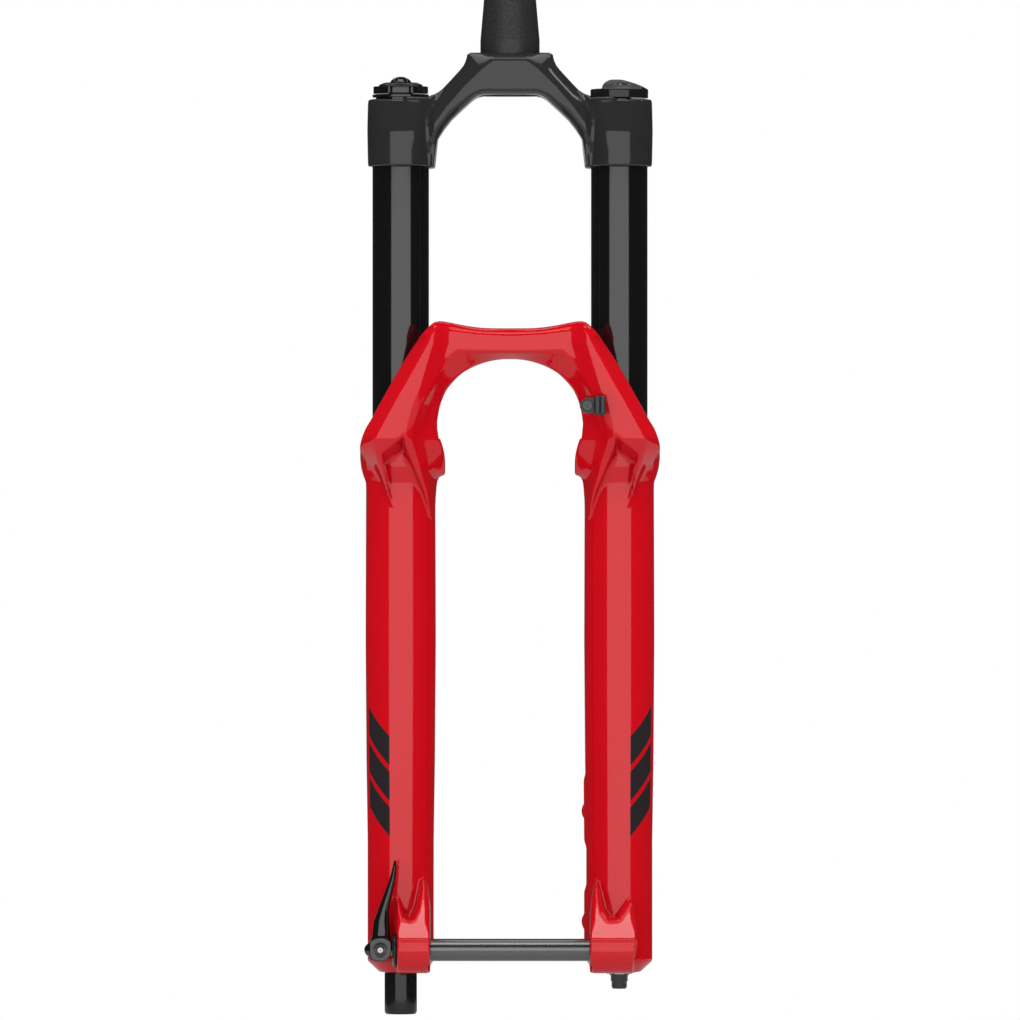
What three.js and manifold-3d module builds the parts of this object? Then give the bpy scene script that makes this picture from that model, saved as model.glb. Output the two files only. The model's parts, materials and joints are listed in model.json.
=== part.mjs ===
// A single-crown suspension fork for a mountain bike: 180 mm of travel, 38 mm stanchions, a tapered steerer
// and a 15 x 110 mm through axle.
//
// Millimetres. The origin is on the steering axis at the crown race seat. +Z runs up the steerer, -Y is the
// front of the bicycle and +X is the brake side, where the air spring is. The damper is in the -X leg.

import * as THREE from 'three';
import { mergeVertices } from 'three/addons/utils/BufferGeometryUtils.js';
import { ConvexGeometry } from 'three/addons/geometries/ConvexGeometry.js';
import Module from 'manifold-3d';

const wasm = await Module();
wasm.setup();

// ---------------------------------------------------------------------------------------------
// Driving dimensions
// ---------------------------------------------------------------------------------------------

const FIT = 0.3; // gap between two pieces that touch
const SIDES = 24; // facets round a large turned piece
const SMALL_SIDES = 16; // facets round a small one

const TRAVEL = 180; // stroke of the lower legs
const STANCE = 146.6; // stanchion centre to stanchion centre
const CROWN_OFFSET = 9; // stanchions stand this far in front of the steering axis
const RAKE = 44; // the axle lies this far in front of the steering axis

const STEERER_LENGTH = 200; // above the race seat, uncut
const STEERER_RADIUS = 14.3; // 1 1/8 inch upper end
const RACE_SEAT_RADIUS = 19.9; // 1.5 inch crown race
const RACE_SEAT_HEIGHT = 8.7;
const TAPER_TOP = 73;
const STEERER_WALL = 2.6;

const STANCHION_RADIUS = 19;
const STANCHION_WALL = 2;

const CROWN_THICKNESS = 28.1; // at the steerer
const CROWN_TOP_HALF_WIDTH = 26.2; // flat ring under the crown race
const CROWN_FRONT = 31; // centre facet, ahead of the steering axis
const CROWN_REAR = 27;
const EAR_TOP = 30.9; // below the race seat
const EAR_BOTTOM = 76.2;
const EAR_WALL = 3.8; // round the stanchion

const SEAL_TO_AXLE = 342.4; // wiper lip down to the axle
const TOP_CLEARANCE = 1.8; // wiper lip to crown at full travel
const FLOOR_CLEARANCE = 6; // stanchion end to the floor of the leg at full travel
const LEG_WALL = 2.7; // under the collar
const LEG_TAPER = 1.1; // the leg is this much slimmer near the foot
const COLLAR_WALL = 4.1; // round the wiper's seat
const FOOT_BELOW_AXLE = 16;
const FLOOR_THICKNESS = 10.4;
const ARCH_DEPTH = 22.5; // front to back
const ARCH_CLEARANCE = 2.7; // arch to crown ear at full travel

const HUB_WIDTH = 110.1; // between the hub seats
const LIP_HEIGHT = 1.5; // dropout lip that guides the hub in
const AXLE_RADIUS = 7.5;
const DAMPER_DROPOUT_OUTER = 75.2; // outer faces of the dropouts, from the middle of the fork
const BRAKE_DROPOUT_OUTER = 82.2;
const POST_SPACING = 74.4; // brake posts
const POST_RADIUS = 6.9;
const POST_INSET = 18.2; // inboard of the leg axis
const LOWER_POST_ABOVE_AXLE = 16.8;

const BUSHING_WALL = 1;
const BUSHING_LENGTH = 26;
const FOAM_WALL = 3;
const FOAM_LENGTH = 8;
const WIPER_WALL = 4.3; // rubber between the stanchion and the seat
const WIPER_DEPTH = 9;
const WIPER_FLANGE = 1.6; // lip of the wiper over the collar rim

const ROD_RADIUS = 5; // damper rod and air shaft
const CARTRIDGE_CLEARANCE = 3; // to the stanchion
const CARTRIDGE_WALL = 1;

// ---------------------------------------------------------------------------------------------
// Places that follow from them
// ---------------------------------------------------------------------------------------------

const HALF = STANCE / 2;
const LEG_Y = -CROWN_OFFSET;
const AXLE_Y = -RAKE;
const SEAL_Z = -(EAR_BOTTOM + TRAVEL + TOP_CLEARANCE);
const AXLE_Z = SEAL_Z - SEAL_TO_AXLE;
const FOOT_Z = AXLE_Z - FOOT_BELOW_AXLE;
const FLOOR_Z = FOOT_Z + FLOOR_THICKNESS;
const STANCHION_TOP = -(EAR_TOP + 1.1);
const STANCHION_END = FLOOR_Z + TRAVEL + FLOOR_CLEARANCE;
const STANCHION_BORE = STANCHION_RADIUS - STANCHION_WALL;
const EAR_RADIUS = STANCHION_RADIUS + EAR_WALL;
const RIM_Z = SEAL_Z - 3; // collar rim, under the wiper's lip
const FOAM_TOP = RIM_Z - WIPER_DEPTH + 2;
const FOAM_BOTTOM = FOAM_TOP - FOAM_LENGTH - 2 * FIT;
const BORE_RADIUS = STANCHION_RADIUS + BUSHING_WALL + 2 * FIT;
const LEG_RADIUS = BORE_RADIUS + LEG_WALL;
const LEG_WAIST_RADIUS = LEG_RADIUS - LEG_TAPER;
const WIPER_SEAT_RADIUS = STANCHION_RADIUS + WIPER_WALL;
const COLLAR_RADIUS = WIPER_SEAT_RADIUS + COLLAR_WALL;
const FOAM_SEAT_RADIUS = STANCHION_RADIUS + FOAM_WALL + 2 * FIT;
const ARCH_REAR = LEG_Y - EAR_RADIUS - ARCH_CLEARANCE;
const ARCH_FRONT = ARCH_REAR - ARCH_DEPTH;
const HUB_SEAT = HUB_WIDTH / 2;
const HUB_POCKET_RADIUS = AXLE_RADIUS + 4; // takes the hub's end cap
const LIP_FACE = HUB_SEAT - LIP_HEIGHT;
const AXLE_HOLE = AXLE_RADIUS + FIT;
const BOLT_RADIUS = 4;

// ---------------------------------------------------------------------------------------------
// Shape helpers
// ---------------------------------------------------------------------------------------------

// A closed geometry as a solid that can be joined and cut. Triangles that collapse on an axis are left out.
function solid(geometry) {
  const bare = new THREE.BufferGeometry();
  bare.setAttribute('position', geometry.getAttribute('position'));
  bare.setIndex(geometry.getIndex());
  const merged = mergeVertices(bare, 1e-4);
  const index = merged.index.array;
  const kept = [];
  for (let i = 0; i < index.length; i += 3) {
    const [a, b, c] = [index[i], index[i + 1], index[i + 2]];
    if (a !== b && b !== c && c !== a) kept.push(a, b, c);
  }
  const vertProperties = merged.attributes.position.array;
  return new wasm.Manifold(new wasm.Mesh({ numProp: 3, vertProperties, triVerts: new Uint32Array(kept) }));
}

// A solid turned about +Z: [radius, height] pairs, outwards along the bottom and then up the outside.
function turned(profile, sides = SIDES, x = 0, y = 0) {
  const points = [...profile, profile[0]].map(([radius, height]) => new THREE.Vector2(radius, height));
  return solid(new THREE.LatheGeometry(points, sides).rotateX(Math.PI / 2).translate(x, y, 0));
}

function rod(radius, low, high, sides = SIDES, x = 0, y = 0) {
  return turned([[0, low], [radius, low], [radius, high], [0, high]], sides, x, y);
}

function ring(outer, inner, low, high, sides = SIDES, x = 0, y = 0) {
  return turned([[inner, low], [outer, low], [outer, high], [inner, high]], sides, x, y);
}

// A cylinder along +X or +Y through (x, y, z), from one coordinate to the other on its own axis.
function rodAlongX(radius, from, to, y, z, sides = SMALL_SIDES) {
  const bar = new THREE.CylinderGeometry(radius, radius, to - from, sides);
  return solid(bar.rotateZ(-Math.PI / 2).translate((from + to) / 2, y, z));
}

function rodAlongY(radius, from, to, x, z, sides = SMALL_SIDES) {
  const bar = new THREE.CylinderGeometry(radius, radius, to - from, sides);
  return solid(bar.translate(x, (from + to) / 2, z));
}

function box(x0, x1, y0, y1, z0, z1) {
  const block = new THREE.BoxGeometry(x1 - x0, y1 - y0, z1 - z0);
  return solid(block.translate((x0 + x1) / 2, (y0 + y1) / 2, (z0 + z1) / 2));
}

// An outline seen from the front (x, z), from rear depth y1 forward to y0.
function seenFromFront(shape, y0, y1, curveSegments = 5) {
  const geometry = new THREE.ExtrudeGeometry(shape, { depth: y1 - y0, bevelEnabled: false, curveSegments });
  return solid(geometry.rotateX(Math.PI / 2).translate(0, y1, 0));
}

// An outline seen from above (x, y), from height z0 to z1.
function seenFromAbove(shape, z0, z1, curveSegments = 6) {
  const geometry = new THREE.ExtrudeGeometry(shape, { depth: z1 - z0, bevelEnabled: false, curveSegments });
  return solid(geometry.translate(0, 0, z0));
}

// An outline seen from the side (y, z), from x0 to x1.
const SIDE_VIEW = new THREE.Matrix4().makeBasis(
  new THREE.Vector3(0, 1, 0),
  new THREE.Vector3(0, 0, 1),
  new THREE.Vector3(1, 0, 0),
);

function seenFromSide(shape, x0, x1, curveSegments = 6) {
  const geometry = new THREE.ExtrudeGeometry(shape, { depth: x1 - x0, bevelEnabled: false, curveSegments });
  return solid(geometry.applyMatrix4(SIDE_VIEW).translate(x0, 0, 0));
}

// The convex solid round a set of [x, y, z] points; side -1 mirrors it to the damper side.
function hull(points, side = 1) {
  return solid(new ConvexGeometry(points.map(([x, y, z]) => new THREE.Vector3(side * x, y, z))));
}

const joined = (solids) => solids.reduce((all, next) => all.add(next));

// ---------------------------------------------------------------------------------------------
// Materials
// ---------------------------------------------------------------------------------------------

const surface = (color, roughness, metalness) => new THREE.MeshStandardMaterial({ color, roughness, metalness });

const redPaint = () => surface(0xc80816, 0.15, 0.0);
const blackPaint = () => surface(0x141416, 0.2, 0.1);
const blackAnodised = () => surface(0x101012, 0.15, 0.6);
const steererAlloy = () => surface(0x3a3b3d, 0.5, 0.7);
const alloy = () => surface(0xb9bcc0, 0.35, 0.9);
const steel = () => surface(0x9a9da1, 0.3, 1.0);
const bronze = () => surface(0x9b7a45, 0.45, 0.8);
const rubber = () => surface(0x151515, 0.7, 0.0);
const foam = () => surface(0x5a544a, 0.95, 0.0);
const plastic = () => surface(0x1c1d1f, 0.4, 0.0);
const glossPlastic = () => surface(0x0c0c0d, 0.12, 0.0);

// ---------------------------------------------------------------------------------------------
// Upper unit: steerer, crown and stanchions
// ---------------------------------------------------------------------------------------------

// Butted aluminium tube. It is pressed into the crown, so its lower end lies level with the crown's underside.
function steererTube() {
  const base = -(CROWN_THICKNESS - 2);
  return turned([
    [RACE_SEAT_RADIUS - 2 * STEERER_WALL, base],
    [RACE_SEAT_RADIUS, base],
    [RACE_SEAT_RADIUS, RACE_SEAT_HEIGHT],
    [STEERER_RADIUS, TAPER_TOP],
    [STEERER_RADIUS, STEERER_LENGTH],
    [STEERER_RADIUS - STEERER_WALL, STEERER_LENGTH],
    [STEERER_RADIUS - STEERER_WALL, TAPER_TOP],
    [RACE_SEAT_RADIUS - 2 * STEERER_WALL, RACE_SEAT_HEIGHT],
  ]);
}

// Crown outline from the front: a narrow hub, two drooping arms and two deep ears.
function crownFrontOutline() {
  const inner = HALF - EAR_RADIUS;
  const outer = HALF + EAR_RADIUS;
  const top = CROWN_TOP_HALF_WIDTH;
  const half = (side) => [
    (shape) => shape.lineTo(side * top, 0),
    (shape) => shape.lineTo(side * (top + 2.9), -3.4),
    (shape) => shape.quadraticCurveTo(side * (top + 4.1), -8.2, side * (top + 10.2), -14.8),
    (shape) => shape.lineTo(side * (inner - 5), -(EAR_TOP - 6.3)),
    (shape) => shape.quadraticCurveTo(side * (inner - 1.5), -(EAR_TOP - 2.6), side * (inner + 2), -(EAR_TOP - 1.6)),
    (shape) => shape.lineTo(side * (inner + 3.4), -EAR_TOP),
    (shape) => shape.lineTo(side * (outer - 0.8), -EAR_TOP),
    (shape) => shape.lineTo(side * outer, -(EAR_TOP + 20.8)),
    (shape) => shape.lineTo(side * (outer - 0.6), -(EAR_BOTTOM - 1.5)),
    (shape) => shape.lineTo(side * (outer - 2.2), -EAR_BOTTOM),
    (shape) => shape.lineTo(side * (inner + 2), -EAR_BOTTOM),
    (shape) => shape.lineTo(side * (inner + 0.4), -(EAR_BOTTOM - 1.5)),
    (shape) => shape.lineTo(side * (inner - 0.7), -(EAR_BOTTOM - 10.2)),
    (shape) => shape.quadraticCurveTo(side * (inner - 2.4), -(EAR_BOTTOM - 22), side * (inner - 11.3), -(EAR_BOTTOM - 31.2)),
    (shape) => shape.lineTo(side * (top + 2.4), -(CROWN_THICKNESS + 6.8)),
    (shape) => shape.quadraticCurveTo(side * (top - 3.2), -(CROWN_THICKNESS + 0.7), side * (top - 8.6), -CROWN_THICKNESS),
  ];
  // The right half is drawn downwards and the left half is the same steps on the other side, walked back up.
  const right = new THREE.Shape().moveTo(0, 0);
  half(1).forEach((step) => step(right));
  const points = right.getPoints(5);
  const left = points.slice(1).reverse().map((point) => new THREE.Vector2(-point.x, point.y));
  return new THREE.Shape([...points, ...left]);
}

// Crown outline from above: a flat centre facet in front, arms, and ears that wrap the stanchions.
function crownPlanOutline() {
  const facet = 20;
  const right = new THREE.Shape().moveTo(0, -CROWN_FRONT);
  right.lineTo(facet, -CROWN_FRONT);
  right.lineTo(CROWN_TOP_HALF_WIDTH + 3, -CROWN_FRONT + 5);
  right.lineTo(HALF - EAR_RADIUS + 3, LEG_Y - 15);
  right.absarc(HALF, LEG_Y, EAR_RADIUS, Math.PI * 1.3, Math.PI * 0.72 + Math.PI * 2, false);
  right.lineTo(CROWN_TOP_HALF_WIDTH + 2, CROWN_REAR - 11);
  right.lineTo(CROWN_TOP_HALF_WIDTH - 8, CROWN_REAR);
  right.lineTo(0, CROWN_REAR);
  const points = right.getPoints(14);
  const left = points.slice(1, -1).reverse().map((point) => new THREE.Vector2(-point.x, point.y));
  return new THREE.Shape([...points, ...left]);
}

// The front edge of the crown is planed off along each arm, so the arms show a long slanting facet.
function crownPlaning(side) {
  const far = CROWN_FRONT + 20;
  return hull([
    [14, -CROWN_FRONT - 0.2, 6], [CROWN_TOP_HALF_WIDTH + 6, -CROWN_FRONT + 14, 6],
    [14, -far, 6], [CROWN_TOP_HALF_WIDTH + 6, -far, 6],
    [HALF - 20, LEG_Y - EAR_RADIUS - 0.2, -EAR_TOP - 16], [HALF - 3, LEG_Y - EAR_RADIUS + 6, -EAR_TOP + 8],
    [HALF - 20, -far, -EAR_TOP - 16], [HALF - 3, -far, -EAR_TOP + 8],
  ], side);
}

function crown() {
  const front = seenFromFront(crownFrontOutline(), -60, 60);
  const plan = seenFromAbove(crownPlanOutline(), -EAR_BOTTOM - 5, 5);
  const steererBore = rod(RACE_SEAT_RADIUS + FIT, -60, 10);
  const bore = (side) => rod(STANCHION_RADIUS + FIT, -EAR_BOTTOM - 5, 0, SIDES, side * HALF, LEG_Y);
  return [steererBore, bore(-1), bore(1), crownPlaning(-1), crownPlaning(1)]
    .reduce((body, tool) => body.subtract(tool), front.intersect(plan));
}

function stanchion() {
  const groove = STANCHION_END + 3;
  return turned([
    [STANCHION_BORE, STANCHION_END],
    [STANCHION_RADIUS - 0.6, STANCHION_END],
    [STANCHION_RADIUS, STANCHION_END + 1.5],
    [STANCHION_RADIUS, STANCHION_TOP],
    [STANCHION_BORE, STANCHION_TOP],
    [STANCHION_BORE, groove + 1.6],
    [STANCHION_BORE + 0.9, groove + 1.6],
    [STANCHION_BORE + 0.9, groove],
    [STANCHION_BORE, groove],
  ]);
}

// ---------------------------------------------------------------------------------------------
// Lower casting
// ---------------------------------------------------------------------------------------------

// One leg with its collar, turned about its own axis.
function legOutside(side) {
  return turned([
    [0, FOOT_Z],
    [LEG_WAIST_RADIUS - 8, FOOT_Z],
    [LEG_WAIST_RADIUS, FOOT_Z + 7.4],
    [LEG_WAIST_RADIUS, AXLE_Z + 72],
    [LEG_RADIUS - 0.3, AXLE_Z + 126],
    [LEG_RADIUS + 0.3, AXLE_Z + 206],
    [LEG_RADIUS, SEAL_Z - 36],
    [LEG_RADIUS + 1, SEAL_Z - 31],
    [COLLAR_RADIUS - 1.4, SEAL_Z - 24],
    [COLLAR_RADIUS, SEAL_Z - 14],
    [COLLAR_RADIUS - 0.2, SEAL_Z - 7],
    [COLLAR_RADIUS - 1.6, RIM_Z],
    [0, RIM_Z],
  ], SIDES, side * HALF, LEG_Y);
}

// The bore of one leg: wiper seat, foam seat, bushing bore, then the hole for the foot bolt.
function legInside(side) {
  return turned([
    [0, FOOT_Z - 5],
    [BOLT_RADIUS + FIT, FOOT_Z - 5],
    [BOLT_RADIUS + FIT, FLOOR_Z],
    [BORE_RADIUS, FLOOR_Z],
    [BORE_RADIUS, FOAM_BOTTOM],
    [FOAM_SEAT_RADIUS, FOAM_BOTTOM],
    [FOAM_SEAT_RADIUS, FOAM_TOP],
    [WIPER_SEAT_RADIUS, FOAM_TOP],
    [WIPER_SEAT_RADIUS, RIM_Z],
    [WIPER_SEAT_RADIUS + WIPER_FLANGE + FIT, RIM_Z],
    [WIPER_SEAT_RADIUS + WIPER_FLANGE + FIT, RIM_Z + 40],
    [0, RIM_Z + 40],
  ], SIDES, side * HALF, LEG_Y);
}

// A section across the arch: outer edge, the front face's two lines and the edge of the opening, as [x, z].
// Its front corners are bevelled, so each section has six corners.
function archSection({ outer, faceOuter, faceInner, opening, front = ARCH_FRONT, rear = ARCH_REAR }) {
  const middle = rear + (front - rear) * 0.42;
  return [
    [outer[0], rear, outer[1]], [outer[0], middle, outer[1]],
    [faceOuter[0], front, faceOuter[1]], [faceInner[0], front, faceInner[1]],
    [opening[0], middle, opening[1]], [opening[0], rear, opening[1]],
  ];
}

// From the middle of the arch out over the shoulder and down to the collar. Heights are above the wiper's lip.
const up = (height) => SEAL_Z + height;
const ARCH_SECTIONS = [
  { outer: [0, up(72.8)], faceOuter: [0, up(69)], faceInner: [0, up(56.5)], opening: [0, up(52.2)] },
  {
    outer: [HALF - 46.5, up(74.1)], faceOuter: [HALF - 47, up(71)],
    faceInner: [HALF - 49, up(57)], opening: [HALF - 53.2, up(48.8)],
  },
  {
    outer: [HALF - 33, up(76.7)], faceOuter: [HALF - 33.3, up(72.6)],
    faceInner: [HALF - 37.8, up(58)], opening: [HALF - 39.8, up(41.5)],
  },
  {
    outer: [HALF - 25, up(77.4)], faceOuter: [HALF - 23.3, up(73.3)],
    faceInner: [HALF - 32, up(53)], opening: [HALF - 33.1, up(34.5)],
  },
  {
    outer: [HALF - 18.6, up(73.6)], faceOuter: [HALF - 19.3, up(66)],
    faceInner: [HALF - 25.3, up(41.3)], opening: [HALF - 28.8, up(27)],
  },
  {
    outer: [HALF - 9.3, up(60.7)], faceOuter: [HALF - 13.3, up(55.1)],
    faceInner: [HALF - 20.3, up(32.5)], opening: [HALF - 26.1, up(19.5)],
  },
  {
    outer: [HALF + 4.7, up(38)], faceOuter: [HALF + 1.7, up(29)],
    faceInner: [HALF - 11.8, up(15)], opening: [HALF - 25, up(9)], front: ARCH_FRONT + 1.5,
  },
  {
    outer: [HALF + 18.9, up(13)], faceOuter: [HALF + 12.7, up(7.7)],
    faceInner: [HALF - 7.3, up(3)], opening: [HALF - 26.1, up(1)], front: ARCH_FRONT + 3,
  },
  {
    outer: [HALF + 25.1, up(1)], faceOuter: [HALF + 17.4, up(-0.9)],
    faceInner: [HALF - 5.8, up(-0.9)], opening: [HALF - 27.7, up(-4.4)], front: ARCH_FRONT + 5, rear: LEG_Y - 20,
  },
];

// Below the wiper the arch runs into the collar: a heavy inner corner, and two tapering fins down the leg.
function archFoot(side) {
  const surfaceY = LEG_Y - LEG_RADIUS;
  const face = ARCH_FRONT + 5;
  const flank = COLLAR_RADIUS - 0.1;
  const shoulder = hull([
    [HALF + 25.1, LEG_Y - 20, up(1)], [HALF + flank, LEG_Y - 4, up(-6)], [HALF + flank, LEG_Y - 16, up(-6)],
    [HALF + flank, LEG_Y - 4, up(-14)], [HALF + 26.2, LEG_Y - 14, up(-21)], [HALF + 17.4, face, up(-0.9)],
    [HALF + 12, face + 5, up(-11)], [HALF - 4, face + 8, up(-6)], [HALF - 5.8, face, up(-0.9)],
    [HALF + 10, surfaceY - 2, up(-22)],
  ], side);
  const corner = hull([
    [HALF - 27.7, LEG_Y - 20, up(-4.4)], [HALF - 27.7, LEG_Y - 30, up(-4.4)], [HALF - 29.6, LEG_Y - 12, up(-14)],
    [HALF - 29.8, LEG_Y - 12, up(-21)], [HALF - 29.6, LEG_Y - 24, up(-14)], [HALF - 29.8, LEG_Y - 22, up(-22)],
    [HALF - 27, LEG_Y - 10, up(-26)], [HALF - 26.8, LEG_Y - 19, up(-26)], [HALF - 5.8, face, up(-0.9)],
    [HALF - 10, face + 6, up(-14)], [HALF - 5, LEG_Y - 18, up(-12)], [HALF - 16, surfaceY + 2, up(-30)],
  ], side);
  const outerFin = hull([
    [HALF + 18.4, face, up(-1)], [HALF + 12.3, face + 2, up(-9.6)], [HALF + 20, surfaceY + 6, up(-6)],
    [HALF + 10, surfaceY + 3, up(-10)], [HALF + 12, face + 8, up(-30)], [HALF + 8, face + 9, up(-30)],
    [HALF + 5.8, surfaceY - 1, up(-46)], [HALF + 8, surfaceY + 4, up(-40)], [HALF + 3, surfaceY + 3, up(-40)],
  ], side);
  const innerFin = hull([
    [HALF - 3.3, face + 1, up(0)], [HALF - 7.5, face, up(-1)], [HALF - 3.3, surfaceY + 3, up(-4)],
    [HALF - 14, face + 5, up(-14)], [HALF - 16, surfaceY + 4, up(-12)], [HALF - 10, face + 8, up(-28)],
    [HALF - 17.5, surfaceY + 4, up(-44)], [HALF - 20.3, surfaceY + 12, up(-53.2)], [HALF - 12, surfaceY + 3, up(-44)],
  ], side);
  return joined([shoulder, corner, outerFin, innerFin]);
}

function arch() {
  const spans = [-1, 1].flatMap((side) => ARCH_SECTIONS.slice(1).map((section, i) => (
    hull([...archSection(ARCH_SECTIONS[i]), ...archSection(section)], side)
  )));
  return joined([...spans, archFoot(-1), archFoot(1)]);
}

// A dropout cheek from the side: from the leg down and forward, then round the axle.
function cheekOutline(topAboveAxle) {
  const shape = new THREE.Shape().moveTo(LEG_Y, AXLE_Z + topAboveAxle);
  shape.lineTo(LEG_Y - LEG_RADIUS + 2, AXLE_Z + topAboveAxle);
  shape.lineTo(AXLE_Y - FOOT_BELOW_AXLE + 0.5, AXLE_Z + 8);
  shape.absarc(AXLE_Y, AXLE_Z, FOOT_BELOW_AXLE, Math.PI * 0.9, Math.PI * 1.5, false);
  shape.lineTo(LEG_Y, FOOT_Z);
  return shape;
}

// Each dropout is a boss round the axle with two ribs that run up the leg and a valley between them.
function dropout(side, outerFace, innerRib, outerRib) {
  const place = (from, to) => (side > 0 ? [from, to] : [-to, -from]);
  const boss = seenFromSide(cheekOutline(22), ...place(LIP_FACE, outerFace));
  const ribs = [innerRib, outerRib].map(([from, to, top]) => seenFromSide(cheekOutline(top), ...place(from, to)));
  const seat = place(LIP_FACE - 5, HUB_SEAT);
  const hubPocket = rodAlongX(HUB_POCKET_RADIUS, ...seat, AXLE_Y, AXLE_Z);
  const hubSlot = box(...seat, AXLE_Y - HUB_POCKET_RADIUS, AXLE_Y + HUB_POCKET_RADIUS, FOOT_Z - 5, AXLE_Z);
  return joined([boss, ...ribs]).subtract(hubPocket).subtract(hubSlot);
}

const POST_X = HALF - POST_INSET;
const POST_REAR = LEG_Y + 36;
const LOWER_POST_Z = AXLE_Z + LOWER_POST_ABOVE_AXLE;

function brakePost(z) {
  const post = rodAlongY(POST_RADIUS, LEG_Y, POST_REAR, POST_X, z);
  const web = hull([
    [POST_X, LEG_Y + 4, z + 22], [POST_X, LEG_Y + 4, z - 18], [POST_X - 4, POST_REAR - 8, z + 5],
    [POST_X - 4, POST_REAR - 8, z - 5], [POST_X + 22, LEG_Y + 14, z + 18], [POST_X + 22, LEG_Y + 14, z - 14],
    [POST_X + 5, POST_REAR - 8, z + 4], [POST_X + 5, POST_REAR - 8, z - 4],
  ]);
  return post.add(web);
}

const GUIDE_SCREW = { x: HALF - 21.7, z: up(21.1) }; // on the inner bevel of the arch
const GUIDE_REAR = ARCH_FRONT - FIT;

function lowerCasting() {
  const nutPocket = rodAlongX(NUT_RADIUS + FIT, HUB_SEAT + 9, BRAKE_DROPOUT_OUTER + 10, AXLE_Y, AXLE_Z, SIDES);
  const axleHole = rodAlongX(AXLE_HOLE, -HALF - 40, HALF + 40, AXLE_Y, AXLE_Z, SIDES);
  // A spot face that clears the cup under the lever.
  const cupSeat = rodAlongX(CUP_RADIUS + 2 * FIT, -HALF - 40, -DAMPER_DROPOUT_OUTER, AXLE_Y, AXLE_Z, SIDES);
  const postHole = (z) => rodAlongY(2.6, POST_REAR - 14, POST_REAR + 5, POST_X, z, 12);
  const guideBoss = rodAlongY(5, ARCH_FRONT, ARCH_REAR - 6, GUIDE_SCREW.x, GUIDE_SCREW.z);
  const guideHole = rodAlongY(1.8, ARCH_FRONT - 5, GUIDE_REAR + 8, GUIDE_SCREW.x, GUIDE_SCREW.z, 12);
  const body = joined([
    legOutside(-1), legOutside(1), arch(), guideBoss,
    dropout(
      -1, DAMPER_DROPOUT_OUTER, [HUB_SEAT, HUB_SEAT + 6.65, 47],
      [DAMPER_DROPOUT_OUTER - 9.2, DAMPER_DROPOUT_OUTER - 1.2, 32],
    ),
    dropout(
      1, BRAKE_DROPOUT_OUTER, [HUB_SEAT + 1.15, HUB_SEAT + 6.25, 44],
      [BRAKE_DROPOUT_OUTER - 3.5, BRAKE_DROPOUT_OUTER + 2.4, 32],
    ),
    brakePost(LOWER_POST_Z), brakePost(LOWER_POST_Z + POST_SPACING),
  ]);
  return [
    legInside(-1), legInside(1), axleHole, nutPocket, cupSeat,
    postHole(LOWER_POST_Z), postHole(LOWER_POST_Z + POST_SPACING), guideHole,
  ].reduce((left, tool) => left.subtract(tool), body);
}

// ---------------------------------------------------------------------------------------------
// Seals and bushings, the same in both legs
// ---------------------------------------------------------------------------------------------

function dustWiper() {
  const outer = WIPER_SEAT_RADIUS - FIT;
  const inner = STANCHION_RADIUS + FIT;
  return turned([
    [inner + 1.2, FOAM_TOP + FIT],
    [outer, FOAM_TOP + FIT],
    [outer, RIM_Z + FIT],
    [outer + WIPER_FLANGE, RIM_Z + FIT],
    [outer + WIPER_FLANGE, RIM_Z + 1.2],
    [inner + 3, RIM_Z + 1.8],
    [inner + 1.2, RIM_Z + 1.8],
    [inner + 1.2, SEAL_Z],
    [inner, SEAL_Z],
    [inner, SEAL_Z - 2],
    [inner + 0.8, SEAL_Z - 4],
    [inner + 0.8, FOAM_TOP + 2.5],
    [inner, FOAM_TOP + 1.5],
    [inner, FOAM_TOP + FIT],
  ]);
}

// The garter spring that holds the wiper's lip against the stanchion.
function garterSpring() {
  const radius = STANCHION_RADIUS + 2 * FIT + 1.7;
  const wire = 0.45;
  const profile = Array.from({ length: 6 }, (_, i) => {
    const angle = (i / 6) * Math.PI * 2;
    return [radius + wire * Math.cos(angle), SEAL_Z - 0.45 + wire * 0.9 * Math.sin(angle)];
  });
  return turned(profile, SIDES);
}

const foamRing = () => ring(FOAM_SEAT_RADIUS - FIT, STANCHION_RADIUS + FIT, FOAM_BOTTOM + FIT, FOAM_TOP - FIT);
const bushing = (top) => ring(BORE_RADIUS - FIT, STANCHION_RADIUS + FIT, top - BUSHING_LENGTH, top);
const UPPER_BUSHING_TOP = FOAM_BOTTOM - FIT;
const LOWER_BUSHING_TOP = STANCHION_END + 12 + BUSHING_LENGTH;

// ---------------------------------------------------------------------------------------------
// Damper, in the -X leg
// ---------------------------------------------------------------------------------------------

const CAP_PLUG_LENGTH = 30; // down inside the stanchion
const CAP_PLUG_END = STANCHION_TOP - CAP_PLUG_LENGTH;
const CAP_SEAT = -(EAR_TOP - 1); // flange rests just above the ear
const CAP_FLANGE = 1.9;
const KNOB_BASE = CAP_SEAT + CAP_FLANGE + 0.6;
const KNOB_TOP = KNOB_BASE + 4.8;
const KNOB_RADIUS = STANCHION_RADIUS - 0.55;
const KNOB_CREST_RADIUS = KNOB_RADIUS - 3.85;
const KNOB_NOTCHES = 24;
const SPIGOT_RADIUS = 8; // the knobs turn round it
const CENTRE_KNOB_RADIUS = 7.15;

function damperTopCap() {
  return turned([
    [0, CAP_PLUG_END],
    [STANCHION_BORE - FIT, CAP_PLUG_END],
    [STANCHION_BORE - FIT, CAP_SEAT],
    [STANCHION_RADIUS, CAP_SEAT],
    [STANCHION_RADIUS, CAP_SEAT + CAP_FLANGE],
    [SPIGOT_RADIUS, CAP_SEAT + CAP_FLANGE],
    [SPIGOT_RADIUS, KNOB_TOP - 1.5],
    [2.6, KNOB_TOP - 1.5],
    [2.6, KNOB_TOP + 0.6],
    [0, KNOB_TOP + 0.6],
  ]);
}

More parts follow.
